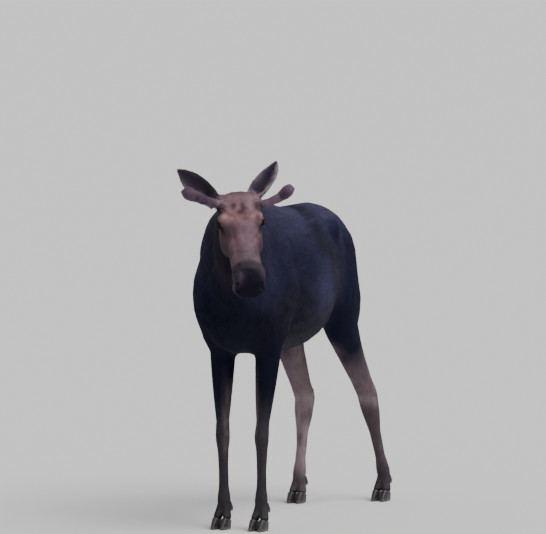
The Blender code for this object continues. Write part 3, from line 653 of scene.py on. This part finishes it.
LIT_BACK, UPPER_LIGHT, FLANK, BARREL_HIGHLIGHT = tone(60, 57, 84), tone(40, 38, 62), tone(27, 26, 48), tone(54, 51, 82)
UNDERSIDE_SHADE, CHEST, THROAT, THIGH = tone(13, 13, 28), tone(18, 19, 36), tone(27, 27, 48), tone(22, 22, 42)
HAUNCH_SHADE, HOLLOW_SHADE, GASKIN, SHANK = tone(26, 25, 47), tone(14, 13, 28), tone(132, 112, 120), tone(120, 106, 105)
SHOULDER_LIGHT, BROW_RIGHT, FACE_RIGHT = tone(40, 39, 62), tone(178, 139, 140), tone(138, 110, 119)
SHANK_DARK, SHANK_PALE, CANNON = tone(64, 60, 64), tone(160, 142, 146), tone(84, 74, 78)
FOREHEAD, WHORL, BROW, BRIDGE = tone(140, 110, 117), tone(72, 52, 64), tone(156, 120, 119), tone(128, 100, 115)
FACE_DARK, BRIDGE_LOW, BAND = tone(98, 77, 84), tone(104, 89, 92), tone(66, 57, 61)
MUZZLE, MUZZLE_SIDE, RIM_AND_SHEEN, STEM_HAIR = tone(30, 26, 39), tone(76, 65, 76), tone(92, 84, 98), tone(146, 124, 132)
CHEEK, CHEEK_PALE, JAW_AND_SHADE, EYE_RING = tone(46, 38, 48), tone(66, 58, 62), tone(15, 14, 27), tone(14, 11, 16)
EAR_BACK, EAR_PALE = tone(66, 56, 68), tone(156, 142, 150)
# the dark cups of the ears; the left one is darker as painted shade
EAR_INSIDE = {"ear_right": tone(60, 50, 64), "ear_left": tone(44, 36, 50)}
VELVET, VELVET_DARK, VELVET_PALE = tone(82, 66, 78), tone(60, 46, 60), tone(116, 97, 106)
EYE_WHITE, IRIS, IRIS_RIM, PUPIL = tone(22, 15, 14), tone(22, 13, 10), tone(40, 24, 16), tone(5, 4, 6)
HORN, HORN_WORN = tone(40, 36, 38), tone(88, 78, 74)
BASE = {
    "head": CHEEK, "neck": THROAT, "trunk": FLANK, "tail": THIGH, "ear": EAR_BACK,
    "fore_upper": CHEST, "fore_lower": SHANK_DARK, "hind_upper": THIGH, "hind_lower": SHANK,
}

WHORLS = (  # dark curls of the forehead: middle (along, left), half sizes, strength
    (-0.078, -0.031, 0.026, 0.017, 0.9),
    (-0.070, 0.012, 0.028, 0.019, 1.0),
    (-0.050, 0.000, 0.018, 0.036, 0.8),
)
# Painted shade runs along this line of the hollow in front of the haunch, as (y, z).
HOLLOW_LINE = ((0.66, 1.74), (0.62, 1.61), (0.73, 1.50), (0.72, 1.38), (0.84, 1.24))


def laid(colours, *layers, within=1):
    """Colours with layers of (colour, weight) over them, one after the other, within a region."""
    for other, weight in layers:
        weight = np.clip(weight * within, 0, 1)[:, None]
        colours = colours * (1 - weight) + other * weight
    return colours


def markings(points, normals, nodes, edges):
    """The colour of the coat at each vertex, in linear light."""
    colours = spread(np.array([BASE[region_of(name)] for name in FLESH])[nodes], edges, 16)
    x, y, z = (points - SHIFT).T
    _, l, o = head_frame(points).T
    wide = np.abs(x)
    blotch, fine = mottle(points, 0.085), mottle(points, 0.022, 5.0)
    wave = 0.03 * blotch
    body = spread(among(nodes, "trunk", "neck"), edges, 10)
    body = np.minimum(body + spread(among(nodes, "leg"), edges, 10) * step(1.05, 1.28, z), 1)
    low = step(1.42, 1.24, z + wave) * step(0.52, 0.36, y) + step(1.26, 1.08, z + wave)
    # painted highlight where the widest part of the barrel catches the light
    barrel = bell(y, 0.56, 0.17) * bell(z, 1.33, 0.13) * step(0.10, 0.18, wide)
    # painted light from above on the upward faces of the back
    lit_top = step(0.25, 0.85, normals[:, 2]) * step(-0.25, 0.1, y)
    lit_top = lit_top * (1 - 0.75 * bell(y, 0.68, 0.17))
    shaded_hollow = np.zeros(len(points))
    for start, end in zip(HOLLOW_LINE, HOLLOW_LINE[1:]):
        away = off_line(np.stack((y, z), 1), start, end)[1]
        shaded_hollow = np.maximum(shaded_hollow, step(0.125, 0.02, away + 0.5 * wave))
    chest = step(0.10, -0.20, y) * step(1.62, 1.40, z) * step(0.19, 0.10, wide)
    # painted light on the point of the shoulder, stronger on the left side
    point = step(0.10, 0.18, wide) * step(0.00, -0.13, y) * step(1.18, 1.34, z) * step(1.62, 1.48, z)
    # painted shadow of the head on the neck beside it
    head_shadow = bell(l, -0.095, 0.050) * step(-0.12, -0.20, o) * step(-0.62, -0.40, o)
    colours = laid(
        colours,
        # painted light: the upper sides lighter, as lit from above
        (UPPER_LIGHT, step(1.52, 1.66, z + wave) * step(-0.1, 0.2, y)),
        # painted shade over the haunch
        (HAUNCH_SHADE, step(0.80, 0.98, y + wave) * step(1.76, 1.64, z)),
        # painted shade on the lower body, darker underneath
        (UNDERSIDE_SHADE, np.clip(low, 0, 1) * 0.9),
        (BARREL_HIGHLIGHT, barrel * 0.85),
        (LIT_BACK, lit_top * 0.9),
        # painted shade in the hollow in front of the haunch
        (HOLLOW_SHADE, shaded_hollow * 0.88),
        # painted shade under the rear of the belly
        (HOLLOW_SHADE, step(1.20, 1.08, z + wave) * step(0.1, 0.3, y) * 0.8),
        (CHEST, chest * 0.85),
        (SHOULDER_LIGHT, point * np.where(x > 0, 0.9, 0.4)),
        (JAW_AND_SHADE, head_shadow * 0.75),
        within=body,
    )
    along, across = 0.77 * y - 0.64 * z, 0.64 * y + 0.77 * z
    streaks = mottle(np.stack((x, 0.22 * along, across), 1), 0.035, 11.0)
    colours = colours * (1 + (0.13 * streaks + 0.05 * fine) * body)[:, None]
    # legs: dark above, paler down the bones, palest on the inner faces and behind
    inner = step(0.1, 0.75, -normals[:, 0] * np.sign(x))
    for pair, top, paler, inside in (("fore", 0.84, SHANK_DARK, 0.6), ("hind", 0.97, GASKIN, 1.0)):
        on = spread(among(nodes, f"leg_{pair}"), edges, 8)
        top = top + 0.08 * (x < 0) * (pair == "hind")
        patches = step(top + 0.06 + 0.08 * blotch, top - 0.12, z) * (0.62 + 0.25 * blotch + 0.2 * fine)
        layers = [
            (paler, step(top + 0.07 * blotch, top - 0.32, z) * 0.9),
            (SHANK, inner * patches * step(0.34, 0.52, z) * inside),
        ]
        if pair == "hind":
            below = step(0.72, 0.52, z + 0.5 * wave)
            stains = step(-0.1, 0.7, mottle(points * (1.0, 1.0, 0.6), 0.040, 21.0))
            layers += [
                (CANNON, below * step(0.0, 0.05, x) * 0.9),
                (SHANK_PALE, below * step(0.0, -0.05, x) * 0.85),
                (CANNON, stains * step(0.86, 0.66, z) * 0.55),
                (SHANK_PALE, bell(z, 0.60, 0.035) * step(0.2, -0.5, normals[:, 1]) * 0.6),
            ]
        colours = laid(colours, *layers, (SHANK_DARK, step(0.24, 0.13, z) * 0.8), within=on)
    colours = face_markings(colours, points, normals, nodes, edges, blotch, fine)
    colours = ear_markings(colours, points, normals, nodes, fine)
    return colours * (1 + 0.10 * blotch + 0.10 * fine)[:, None]


def face_markings(colours, points, normals, nodes, edges, blotch, fine):
    """The head over the colours so far."""
    a, l, o = head_frame(points).T
    side = np.abs(l)
    mirrored = np.stack((a, side, o), 1)
    face = spread(among(nodes, "head"), edges, 8)
    outward = normals @ OUT
    top = step(0.15, 0.65, outward)
    front = step(0.25, 1.0, outward + 0.10 * fine)
    patchy = mottle(points, 0.034, 7.0)
    lobes = bell(a, np.where(l < 0, -0.040, -0.032), 0.030) * step(-0.45, 0.15, outward) * step(-0.02, 0.02, o)
    lobes = lobes * (0.92 + 0.15 * fine) * (1 - 0.35 * step(0.075, 0.105, side))
    stripe = bell(l, -0.046, 0.011) * step(0.01, 0.04, a) * step(0.15, 0.10, a) * top
    whorl = np.maximum.reduce([
        bell(a, along, long) * bell(l, left, wide) * strength for along, left, long, wide, strength in WHORLS
    ])
    corner = bell(a, -0.108, 0.024) * bell(side, 0.088, 0.016) * top
    under = step(-0.092, -0.076, a) * step(-0.045, -0.060, a) * step(0.095, 0.108, side)
    right = bell(l, -0.064, 0.019) * step(0.08, 0.12, a)
    cheek = step(-0.10, 0.0, a) * step(0.24, 0.14, a) * bell(o + 0.095 - 0.50 * (a - 0.02), 0, 0.032)
    # painted shade on the rear of the cheek, below and behind the eye
    behind = step(0.02, -0.06, a + 0.25 * (o + 0.05)) * step(-0.03, -0.07, o)
    pad = step(0.292, 0.322, a + 0.006 * blotch) * step(0.100, 0.072, side + 0.1 * o)
    flank = step(0.030, 0.070, side) * step(0.29, 0.32, a) * step(0.385, 0.34, a)
    flank = np.maximum(flank, step(0.0, -0.045, l) * step(0.30, 0.33, a) * step(0.395, 0.35, a))
    _, off_nostril = off_line(mirrored, *NOSTRIL)
    _, off_mouth = off_line(mirrored, *MOUTH)
    shadow = bell(a, 0.006, 0.040) * bell(o, -0.012, 0.024) * step(0.070, 0.092, side)
    colours = laid(
        colours,
        (FACE_DARK, step(-0.2, 0.5, outward) * step(0.24, 0.12, a) * 0.9),
        (FOREHEAD, top * step(-0.20, -0.13, a) * step(0.0, -0.04, a)),
        (FOREHEAD, front * step(-0.04, 0.0, a) * step(0.20, 0.10, a) * bell(l, 0.015, 0.062)),
        (BROW, lobes * np.where(l < 0, 0.85, 0.65)),
        (BROW_RIGHT, lobes * step(0.02, -0.03, l) * 0.8),
        (BRIDGE, bell(l, 0.010, 0.042) * step(0.0, 0.06, a) * step(0.25, 0.75, outward)),
        (WHORL, stripe * (0.55 + 0.2 * patchy)),
        (WHORL, step(0.0, 1.15, whorl + 0.14 * patchy + 0.08 * fine) * top),
        (WHORL, corner * (0.55 + 0.3 * patchy)),
        # painted shadow under the antlers, at the sides of the forehead
        (CHEEK, under * 0.9),
        (FACE_RIGHT, right * step(-0.1, 0.4, outward) * 0.8),
        (BRIDGE_LOW, step(0.15, 0.21, a) * step(-0.1, 0.5, outward) * 0.85),
        (FACE_RIGHT, right * step(0.27, 0.23, a) * step(-0.1, 0.4, outward) * 0.6),
        (CHEEK_PALE, cheek * step(0.05, 0.08, side) * 0.8),
        # painted shade under the head
        (JAW_AND_SHADE, step(-0.080, -0.120, o) * 0.85),
        (JAW_AND_SHADE, behind * 0.6),
        (BAND, step(0.24, 0.28, a + 0.010 * blotch)),
        (MUZZLE, pad),
        (MUZZLE, step(0.30, 0.34, a) * 0.55),
        (MUZZLE_SIDE, flank * (0.7 + 0.2 * patchy)),
        # painted sheen along the muzzle's outline at its sides
        (RIM_AND_SHEEN, bell(off_nostril, 0.026, 0.007) * step(0.078, 0.090, side) * 0.6),
        (MUZZLE * 0.6, step(0.014, 0.007, off_nostril)),
        (EYE_RING * 0.6, bell(off_mouth, 0, 0.0045)),
        (RIM_AND_SHEEN, bell(off_mouth, 0.014, 0.006) * 0.45),
        (JAW_AND_SHADE, shadow * 0.8),
        within=face,
    )
    for eye in (1, -1):
        _, distance, _, outside = round_eye(points, eye)
        near = face * (distance < EYE_RADIUS + LID_REACH)
        colours = laid(colours, (EYE_RING, near * step(0.60, 0.25, outside)))
    stems = stem_weight(points) * face
    hair = stems * np.where(l > 0, step(-0.085, -0.12, a), step(-0.080, -0.10, a))
    colours = laid(colours, (VELVET_DARK, stems * 0.7), (STEM_HAIR, hair * (0.65 + 0.3 * fine)))
    return colours * (1 + 0.16 * patchy * top * face)[:, None]


def ear_markings(colours, points, normals, nodes, fine):
    """The ears over the colours so far: dark cups with pale rims, the left one with a broad pale edge of pale
    hair and painted sky light.
    """
    for name, side, faint, bright in (("ear_left", 1, 0.35, 0.65), ("ear_right", -1, 0.15, 0.25)):
        root, axis, opening = ear_lines(name)
        facing = unit(opening)
        mine = among(nodes, name)
        from_root = points - root
        along = np.clip(from_root @ axis / EAR_LENGTH, 0, 1)
        sided = from_root @ np.cross(axis, facing)
        inner = step(-0.05, 0.35, normals @ facing) * mine
        half = 0.062 * np.sqrt(1 - along**2.2)
        rim = bell(np.abs(sided), half, 0.015) * mine * (faint + bright * step(-0.01, 0.02, side * sided))
        if name == "ear_left":
            # pale hair on the left ear's flap, lightened further as painted sky light
            pale = step(0.004, 0.030, sided + 0.006 * fine) * mine * (0.60 + 0.3 * fine)
        else:
            pale = bell(sided, -0.012, 0.010) * inner * bell(along, 0.24, 0.14) * 0.4
        colours = laid(
            colours,
            (EAR_INSIDE[name], inner),
            (EAR_PALE, rim * step(0, 0.12, along) * (0.9 + 0.3 * fine)),
            (EAR_PALE, pale),
            (EAR_PALE, step(0.20, 0.04, along) * mine * inner * (0.5 + 0.3 * fine)),
        )
    return colours


# ---------- materials
HAIR_TINT = (0.70, 0.70, 1.0)  # of what the coat reflects
SHEEN_TINT = (0.62, 0.60, 0.95)
# Roughness, sheen, size and depth of the grain (m), how much it varies the colour, reflection, tint.
LOOKS = {
    "hide": (0.62, 0.01, 0.0022, 0.0009, 0.30, 0.12, HAIR_TINT),
    "fur": (0.60, 0.02, 0.0016, 0.0001, 0.20, 0.11, HAIR_TINT),
    "velvet": (0.85, 0.07, 0.004, 0.0016, 0.35, 0.12, HAIR_TINT),
    "horn": (0.42, 0.0, 0.003, 0.0004, 0.30, 0.5, (1, 1, 1)),
}


def settle(node, **settings):
    """Sets a node's inputs, or its properties where it has no input of that name."""
    for key, value in settings.items():
        if key in node.inputs:
            node.inputs[key].default_value = value
        else:
            setattr(node, key, value)
    return node


def new_material(name):
    """(a material, its shader, a shorthand that adds a node with its settings)."""
    material = bpy.data.materials.new(name)
    material.use_nodes = True
    nodes = material.node_tree.nodes
    return material, nodes["Principled BSDF"], lambda kind, **settings: settle(nodes.new(kind), **settings)


def wire(material, *pairs):
    for out, into in pairs:
        material.node_tree.links.new(out, into)


def coloured(name):
    """A material that takes its colour from the mesh, varied by fine noise, with a fine bump."""
    roughness, sheen, grain_size, grain_depth, variation, specular, tint = LOOKS[name]
    material, shader, add = new_material(name)
    colour = add("ShaderNodeVertexColor", layer_name="coat")
    space = add("ShaderNodeTexCoord")
    grain = add("ShaderNodeTexNoise", Scale=1 / grain_size, Detail=4.0, Roughness=0.62)
    shade = add("ShaderNodeMapRange", **{"To Min": 1 - variation, "To Max": 1 + variation})
    mix = add("ShaderNodeMix", data_type="RGBA", blend_type="MULTIPLY")
    mix.inputs[0].default_value = 1.0
    lump = add("ShaderNodeBump", Strength=0.9, Distance=grain_depth)
    wire(
        material,
        (space.outputs["Object"], grain.inputs["Vector"]),
        (grain.outputs["Fac"], shade.inputs["Value"]),
        (colour.outputs["Color"], mix.inputs[6]),
        (shade.outputs["Result"], mix.inputs[7]),
        (mix.outputs[2], shader.inputs["Base Color"]),
        (grain.outputs["Fac"], lump.inputs["Height"]),
        (lump.outputs["Normal"], shader.inputs["Normal"]),
    )
    settle(shader, **{
        "Roughness": roughness, "Specular IOR Level": specular, "Specular Tint": (*tint, 1.0),
        "Sheen Weight": sheen, "Sheen Roughness": 0.45, "Sheen Tint": (*SHEEN_TINT, 1.0),
    })
    return material


def paint(obj, colours):
    """Stores a colour for each vertex, which the materials read."""
    layer = obj.data.color_attributes.new(name="coat", type="FLOAT_COLOR", domain="POINT")
    rgba = np.ones((len(obj.data.vertices), 4), np.float32)
    rgba[:, :3] = np.clip(colours, 0.0, 1.0)
    layer.data.foreach_set("color", rgba.ravel())


# ---------- the coat
PATCH = 0.003  # size of a tuft on its map
MOST_TUFTS = 48000  # in one piece, of four triangles each
DARK_ROOT, PALE_TIP = 0.84, 1.12
WANDER = 0.22  # how far neighbouring tufts drift from the lie of the coat


def flat_places(points, nodes):
    """(u, v) of each point on an unwrap of the skin: round and along the bone of its region."""
    uv = np.zeros((len(points), 2))

    def wrap(name, start, end, zero, left, right, margin=0.0):
        mine = among(nodes, name)
        axis = unit(end - start)
        across = unit(zero - axis * (zero @ axis))
        aside = np.cross(axis, across)
        offset = points[mine] - start
        turn = np.arctan2(offset @ aside, offset @ across) / (2 * math.pi) + 0.5
        along = (offset @ axis) / np.linalg.norm(end - start)
        uv[mine, 0] = left + (right - left) * turn
        uv[mine, 1] = np.clip((along + margin) / (1 + 2 * margin), 0, 1)

    down = np.array((0, 0, -1.0))
    wrap("trunk", *in_model((0, -0.30, 1.37), (0, 1.37, 1.37)), down, 0, 0.92)
    wrap("tail", *in_model((0, 1.30, 1.62), (0, 1.39, 1.45)), np.array((0, -1.0, 0)), 0.93, 1.0)
    wrap("neck", NECK_FROM, NECK_TO, down, 0, 1, 0.2)
    wrap("head", on_head(-0.22, 0, -0.04), on_head(0.43, 0, -0.05), -OUT, 0, 1)
    for name, left in zip(EARS, (0.0, 0.5)):
        root, axis, opening = ear_lines(name)
        wrap(name, root, root + axis * EAR_LENGTH, opening, left, left + 0.5, 0.1)
    for leg, joints in JOINTS.items():
        left = 0.5 * leg.endswith("right")
        inward = np.array((-1.0 if leg.endswith("left") else 1.0, 0, 0))
        wrap(f"leg_{leg}_upper", joints[1] + (0, 0, 0.2), joints[2], inward, left, left + 0.5, 0.1)
        ground = joints[3] * ON_GROUND
        wrap(f"leg_{leg}_lower", joints[2], ground, inward, left, left + 0.5, 0.05)
    return PATCH + uv * (1 - 3 * PATCH)


def mesh_object(name, points, faces, normals, colours, uvs):
    """An object of triangles with vertex normals, vertex colours and the map OFBake."""
    data = bpy.data.meshes.new(name)
    data.vertices.add(len(points))
    data.vertices.foreach_set("co", points.astype(np.float32).ravel())
    data.loops.add(faces.size)
    data.loops.foreach_set("vertex_index", faces.astype(np.int32).ravel())
    data.polygons.add(len(faces))
    data.polygons.foreach_set("loop_start", np.arange(0, faces.size, 3, dtype=np.int32))
    data.update(calc_edges=True)
    layer = data.uv_layers.new(name="OFBake")
    layer.data.foreach_set("uv", uvs[faces.ravel()].astype(np.float32).ravel())
    made = linked(name, data)
    paint(made, colours)
    data.shade_smooth()
    data.normals_split_custom_set_from_vertices(normals.astype(np.float32).tolist())
    return made


def scattered(skin, weights):
    """Random places on the skin: each one's triangle and shares of its corners. Weights are per m2."""
    triangles = skin["triangles"]
    a, b, c = (skin["points"][triangles[:, i]] for i in range(3))
    area = np.linalg.norm(np.cross(b - a, c - a), axis=1) / 2
    wanted = area * weights[triangles].mean(1)
    total = int(wanted.sum())
    sums = np.cumsum(wanted)
    draws = (np.arange(total) + RANDOM.random(total)) / total * sums[-1]
    face = np.minimum(np.searchsorted(sums, draws), len(triangles) - 1)
    u, v = RANDOM.random(total), RANDOM.random(total)
    over = u + v > 1
    u[over], v[over] = 1 - u[over], 1 - v[over]
    return triangles[face], np.stack((1 - u - v, u, v), 1)


def at(values, corners, shares):
    """Vertex values at scattered places."""
    values = values.reshape(len(values), -1)
    return sum(values[corners[:, i]] * shares[:, i : i + 1] for i in range(3))


def tufts(skin, weights):
    """Every tuft as a thin solid of four triangles: its two root corners, its ridge and its tip."""
    corners, shares = scattered(skin, weights)
    count = len(corners)
    root = at(skin["points"], corners, shares)
    normal = unit(at(skin["normals"], corners, shares))
    way = at(skin["lie"], corners, shares)
    way += 0.16 * RANDOM.normal(size=(count, 3))
    way = unit(way - normal * (way * normal).sum(1, keepdims=True))
    across = np.cross(normal, way)
    length, width, rise, _ = (column[:, None] for column in at(skin["sizes"], corners, shares).T)
    length = length * RANDOM.uniform(0.65, 1.25, (count, 1))
    width = width * RANDOM.uniform(0.75, 1.25, (count, 1))
    rise = rise * RANDOM.uniform(0.45, 1.15, (count, 1))
    sunk = root - normal * 0.0012 - way * length * 0.12
    left, right = sunk - across * width / 2, sunk + across * width / 2
    ridge = root + way * length * 0.34 + normal * (rise * 0.75 + 0.0006)
    sway = across * length * RANDOM.normal(0, 0.07, (count, 1))
    tip = root + way * length * 0.88 + normal * rise * 0.9 + sway
    points = np.stack((left, right, ridge, tip), 1)
    lean = across * 0.30
    turned = [unit(normal - lean), unit(normal + lean), unit(normal + way * 0.1), unit(normal + way * 0.25)]
    colour = at(skin["colours"], corners, shares)
    colour = colour * np.exp(RANDOM.normal(0, 0.11, (count, 1)))
    shades = np.stack((colour * DARK_ROOT, colour * DARK_ROOT, colour, colour * PALE_TIP), 1)
    nodes = skin["nodes"][corners[:, 0]]
    offsets = np.array(((-0.5, 0), (0.5, 0), (0, 0.5), (0, 1.0))) * PATCH
    uvs = flat_places(root, nodes)[:, None, :] + offsets
    return {"points": points, "normals": np.stack(turned, 1), "colours": shades, "uvs": uvs, "nodes": nodes}


TUFT_FACES = np.array(((0, 3, 2), (2, 3, 1), (0, 2, 1), (1, 3, 0)))


def pieces_of_coat(made, material):
    """Groups the tufts into pieces by region, and by place where they are many."""
    groups = {}
    for name in FLESH:
        region = region_of(name)
        groups.setdefault({"tail": "trunk", "ear": "ears"}.get(region, region), []).append(name)
    for group, members in groups.items():
        chosen = np.flatnonzero(among(made["nodes"], *members))
        parts = max(1, math.ceil(len(chosen) / MOST_TUFTS))
        order = chosen[np.argsort(made["points"][chosen, 0, 1], kind="stable")]
        for number, share in enumerate(np.array_split(order, parts)):
            name = f"coat_{group}" if parts == 1 else f"coat_{group}_{number + 1}"
            count = len(share)
            faces = (TUFT_FACES[None] + 4 * np.arange(count)[:, None, None]).reshape(-1, 3)
            flat = [made[key][share].reshape(count * 4, -1) for key in ("points", "normals", "colours", "uvs")]
            obj = mesh_object(name, flat[0], faces, *flat[1:])
            obj.data.materials.append(material)
            give(obj, "coat", *members)


def give(obj, slot, *nodes):
    """Every piece rides on the one body and stands for CAD nodes; slot is not used."""
    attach(obj, "root")
    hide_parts(*nodes)


def finish(obj, colours, material, slot, *nodes):
    """Paints a smooth piece, gives it its material and hands it over."""
    paint(obj, colours)
    obj.data.shade_smooth()
    obj.data.materials.append(material)
    give(obj, slot, *nodes)


# ---------- eyes, antlers and feet
SOLE_DEPTH = 0.004  # of each hoof, pressed flat on the floor
ANTLER_MESH = (0.0024, 30)  # voxel and steps of smoothing
HORN_MESHES = (("hoof", 0.0022, 8), ("dewclaw", 0.0016, 5))


def eyes():
    """Dark eyeballs with a level oval pupil and a slightly domed cornea."""
    material, shader, add = new_material("eye")
    colour = add("ShaderNodeVertexColor", layer_name="coat")
    wire(material, (colour.outputs["Color"], shader.inputs["Base Color"]))
    settle(shader, **{"Roughness": 0.10, "Specular IOR Level": 0.07})
    for side, name in ((1, "eye_left"), (-1, "eye_right")):
        mesh = bmesh.new()
        bmesh.ops.create_uvsphere(mesh, u_segments=64, v_segments=40, radius=EYE_RADIUS)
        made = as_object(f"{name}_ball", mesh)
        x, y, front = unit(places(made)).T[:, :, None]
        dome = 0.0011 * step(0.70, 0.95, front)
        gaze, level, upward = EYE_AXES[side]
        turned = -side * x * level + y * upward + front * gaze  # so that both balls' faces look outwards
        put(made, EYE_AT[side] - gaze * EYE_SUNK + turned * (EYE_RADIUS + dome))
        x, y, seen = x[:, 0], y[:, 0], front[:, 0] > 0
        off_middle, off_pupil = np.hypot(x, y), np.hypot(x / 0.40, y / 0.22)
        colours = laid(
            np.tile(EYE_WHITE, (len(x), 1)),
            (IRIS, step(0.72, 0.64, off_middle) * seen),
            (IRIS_RIM, bell(off_middle, 0.50, 0.09) * seen * 0.7),
            (PUPIL, step(1.1, 0.9, off_pupil) * seen),
        )
        finish(made, colours, material, "eye", name)


def remeshed(name, nodes, voxel, smoothing):
    """(an object, its points, their normals) of nodes grown together and smoothed."""
    made = as_object(name, node_mesh(nodes))
    apply(made, "REMESH", mode="VOXEL", voxel_size=voxel)
    points = spread(places(made), edges_of(made), smoothing)
    return made, points, normals_of(points, triangles_of(made))


def antlers():
    """Short clubs in velvet, each beam and its bud grown together."""
    material = coloured("velvet")
    # shade: the left beam's velvet is painted 1.25 times lighter, as lit
    for side, root, shade in (("left", VELVET_DARK, 1.25), ("right", VELVET_PALE, 1.0)):
        names = (f"antler_{side}_beam", f"antler_{side}_bud")
        made, points, normals = remeshed(f"antler_{side}", names, *ANTLER_MESH)
        lumps = mottle(points, 0.030, 3.0) * 0.0016 + mottle(points, 0.009, 8.0) * 0.0007
        l = head_frame(points)[:, 1]
        rooted = step(0.012, 0.0, np.abs(l) - np.abs(l).min())  # the end that goes into the head
        put(made, points + normals * (lumps - 0.0015)[:, None] + LEFT * (-np.sign(l) * rooted * 0.02)[:, None])
        bud = np.linalg.norm(points - corner_middle(names[1]), axis=1)
        colours = laid(
            np.tile(root, (len(points), 1)),
            (VELVET * shade, step(0.105, 0.140, np.abs(l))),
            (VELVET_DARK, step(0.042, 0.026, bud) * 0.8),
        )
        finish(made, colours * (1 + 0.16 * mottle(points, 0.02, 2.0))[:, None], material, "velvet", *names)


def feet():
    """Hooves with growth rings and a worn edge, and the dewclaws above them."""
    material = coloured("horn")
    for leg in LEGS:
        for half in ("left", "right"):
            for kind, voxel, smoothing in HORN_MESHES:
                node = f"{kind}_{leg}_{half}"
                made, points, normals = remeshed(f"{node}_horn", [node], voxel, smoothing)
                low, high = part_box(node)
                height = (points[:, 2] - low.z) / (high.z - low.z)
                rings = np.sin(height * 34 + 0.6 * mottle(points, 0.02)) * step(0.05, 0.2, height)
                moved = points + normals * (0.00035 * rings)[:, None]
                if kind == "hoof":
                    moved[points[:, 2] < SOLE_DEPTH, 2] = 0.0
                put(made, moved)
                horn = laid(np.tile(HORN, (len(points), 1)), (HORN_WORN, step(0.35, 0.0, height)))
                horn = horn * (1 + 0.15 * rings + 0.2 * mottle(points, 0.012))[:, None]
                finish(made, horn, material, "horn", node)


# ---------- putting it together
def inset(points, normals, sizes, nodes, edges):
    """The skin drawn in by the depth of the coat."""
    depth = spread(0.75 * sizes[:, 2], edges, 6)
    depth = np.where(among(nodes, "ear"), EAR_GROWN + 0.0004, depth)
    return points - normals * spread(depth, edges, 3)[:, None]


def moose():
    """The skin and its coat."""
    made = skin_of_moose()
    points, edges, triangles = places(made), edges_of(made), triangles_of(made)
    nodes = nearest_nodes(points)
    normals = normals_of(points, triangles)
    sizes = tuft_sizes(points, normals, nodes, edges)
    points = inset(points, normals, sizes, nodes, edges) + normals * relief(points)[:, None]
    normals = normals_of(points, triangles)
    push, hole = features(points)
    push *= spread(among(nodes, "head"), edges, 3)
    points = lids(points + normals * push[:, None])
    normals = normals_of(points, triangles)
    put(made, points)
    colours = markings(points, normals, nodes, edges)
    finish(made, colours, coloured("hide"), "coat", *FLESH)
    lie = unit(spread(lie_of_coat(points, normals, nodes), edges, 10))
    wander = np.stack([mottle(points, 0.045, seed) for seed in (1.0, 2.0, 3.0)], 1)
    sizes[:, 3] *= 1 - step(0.3, 0.8, hole)
    skin = {
        "points": points, "normals": normals, "triangles": triangles, "nodes": nodes,
        "sizes": sizes, "colours": colours, "lie": lie + WANDER * wander,
    }
    per_area = sizes[:, 3] / (0.5 * sizes[:, 0] * sizes[:, 1])
    pieces_of_coat(tufts(skin, per_area), coloured("fur"))


camera()
lights()
floor()
moose()
eyes()
antlers()
feet()
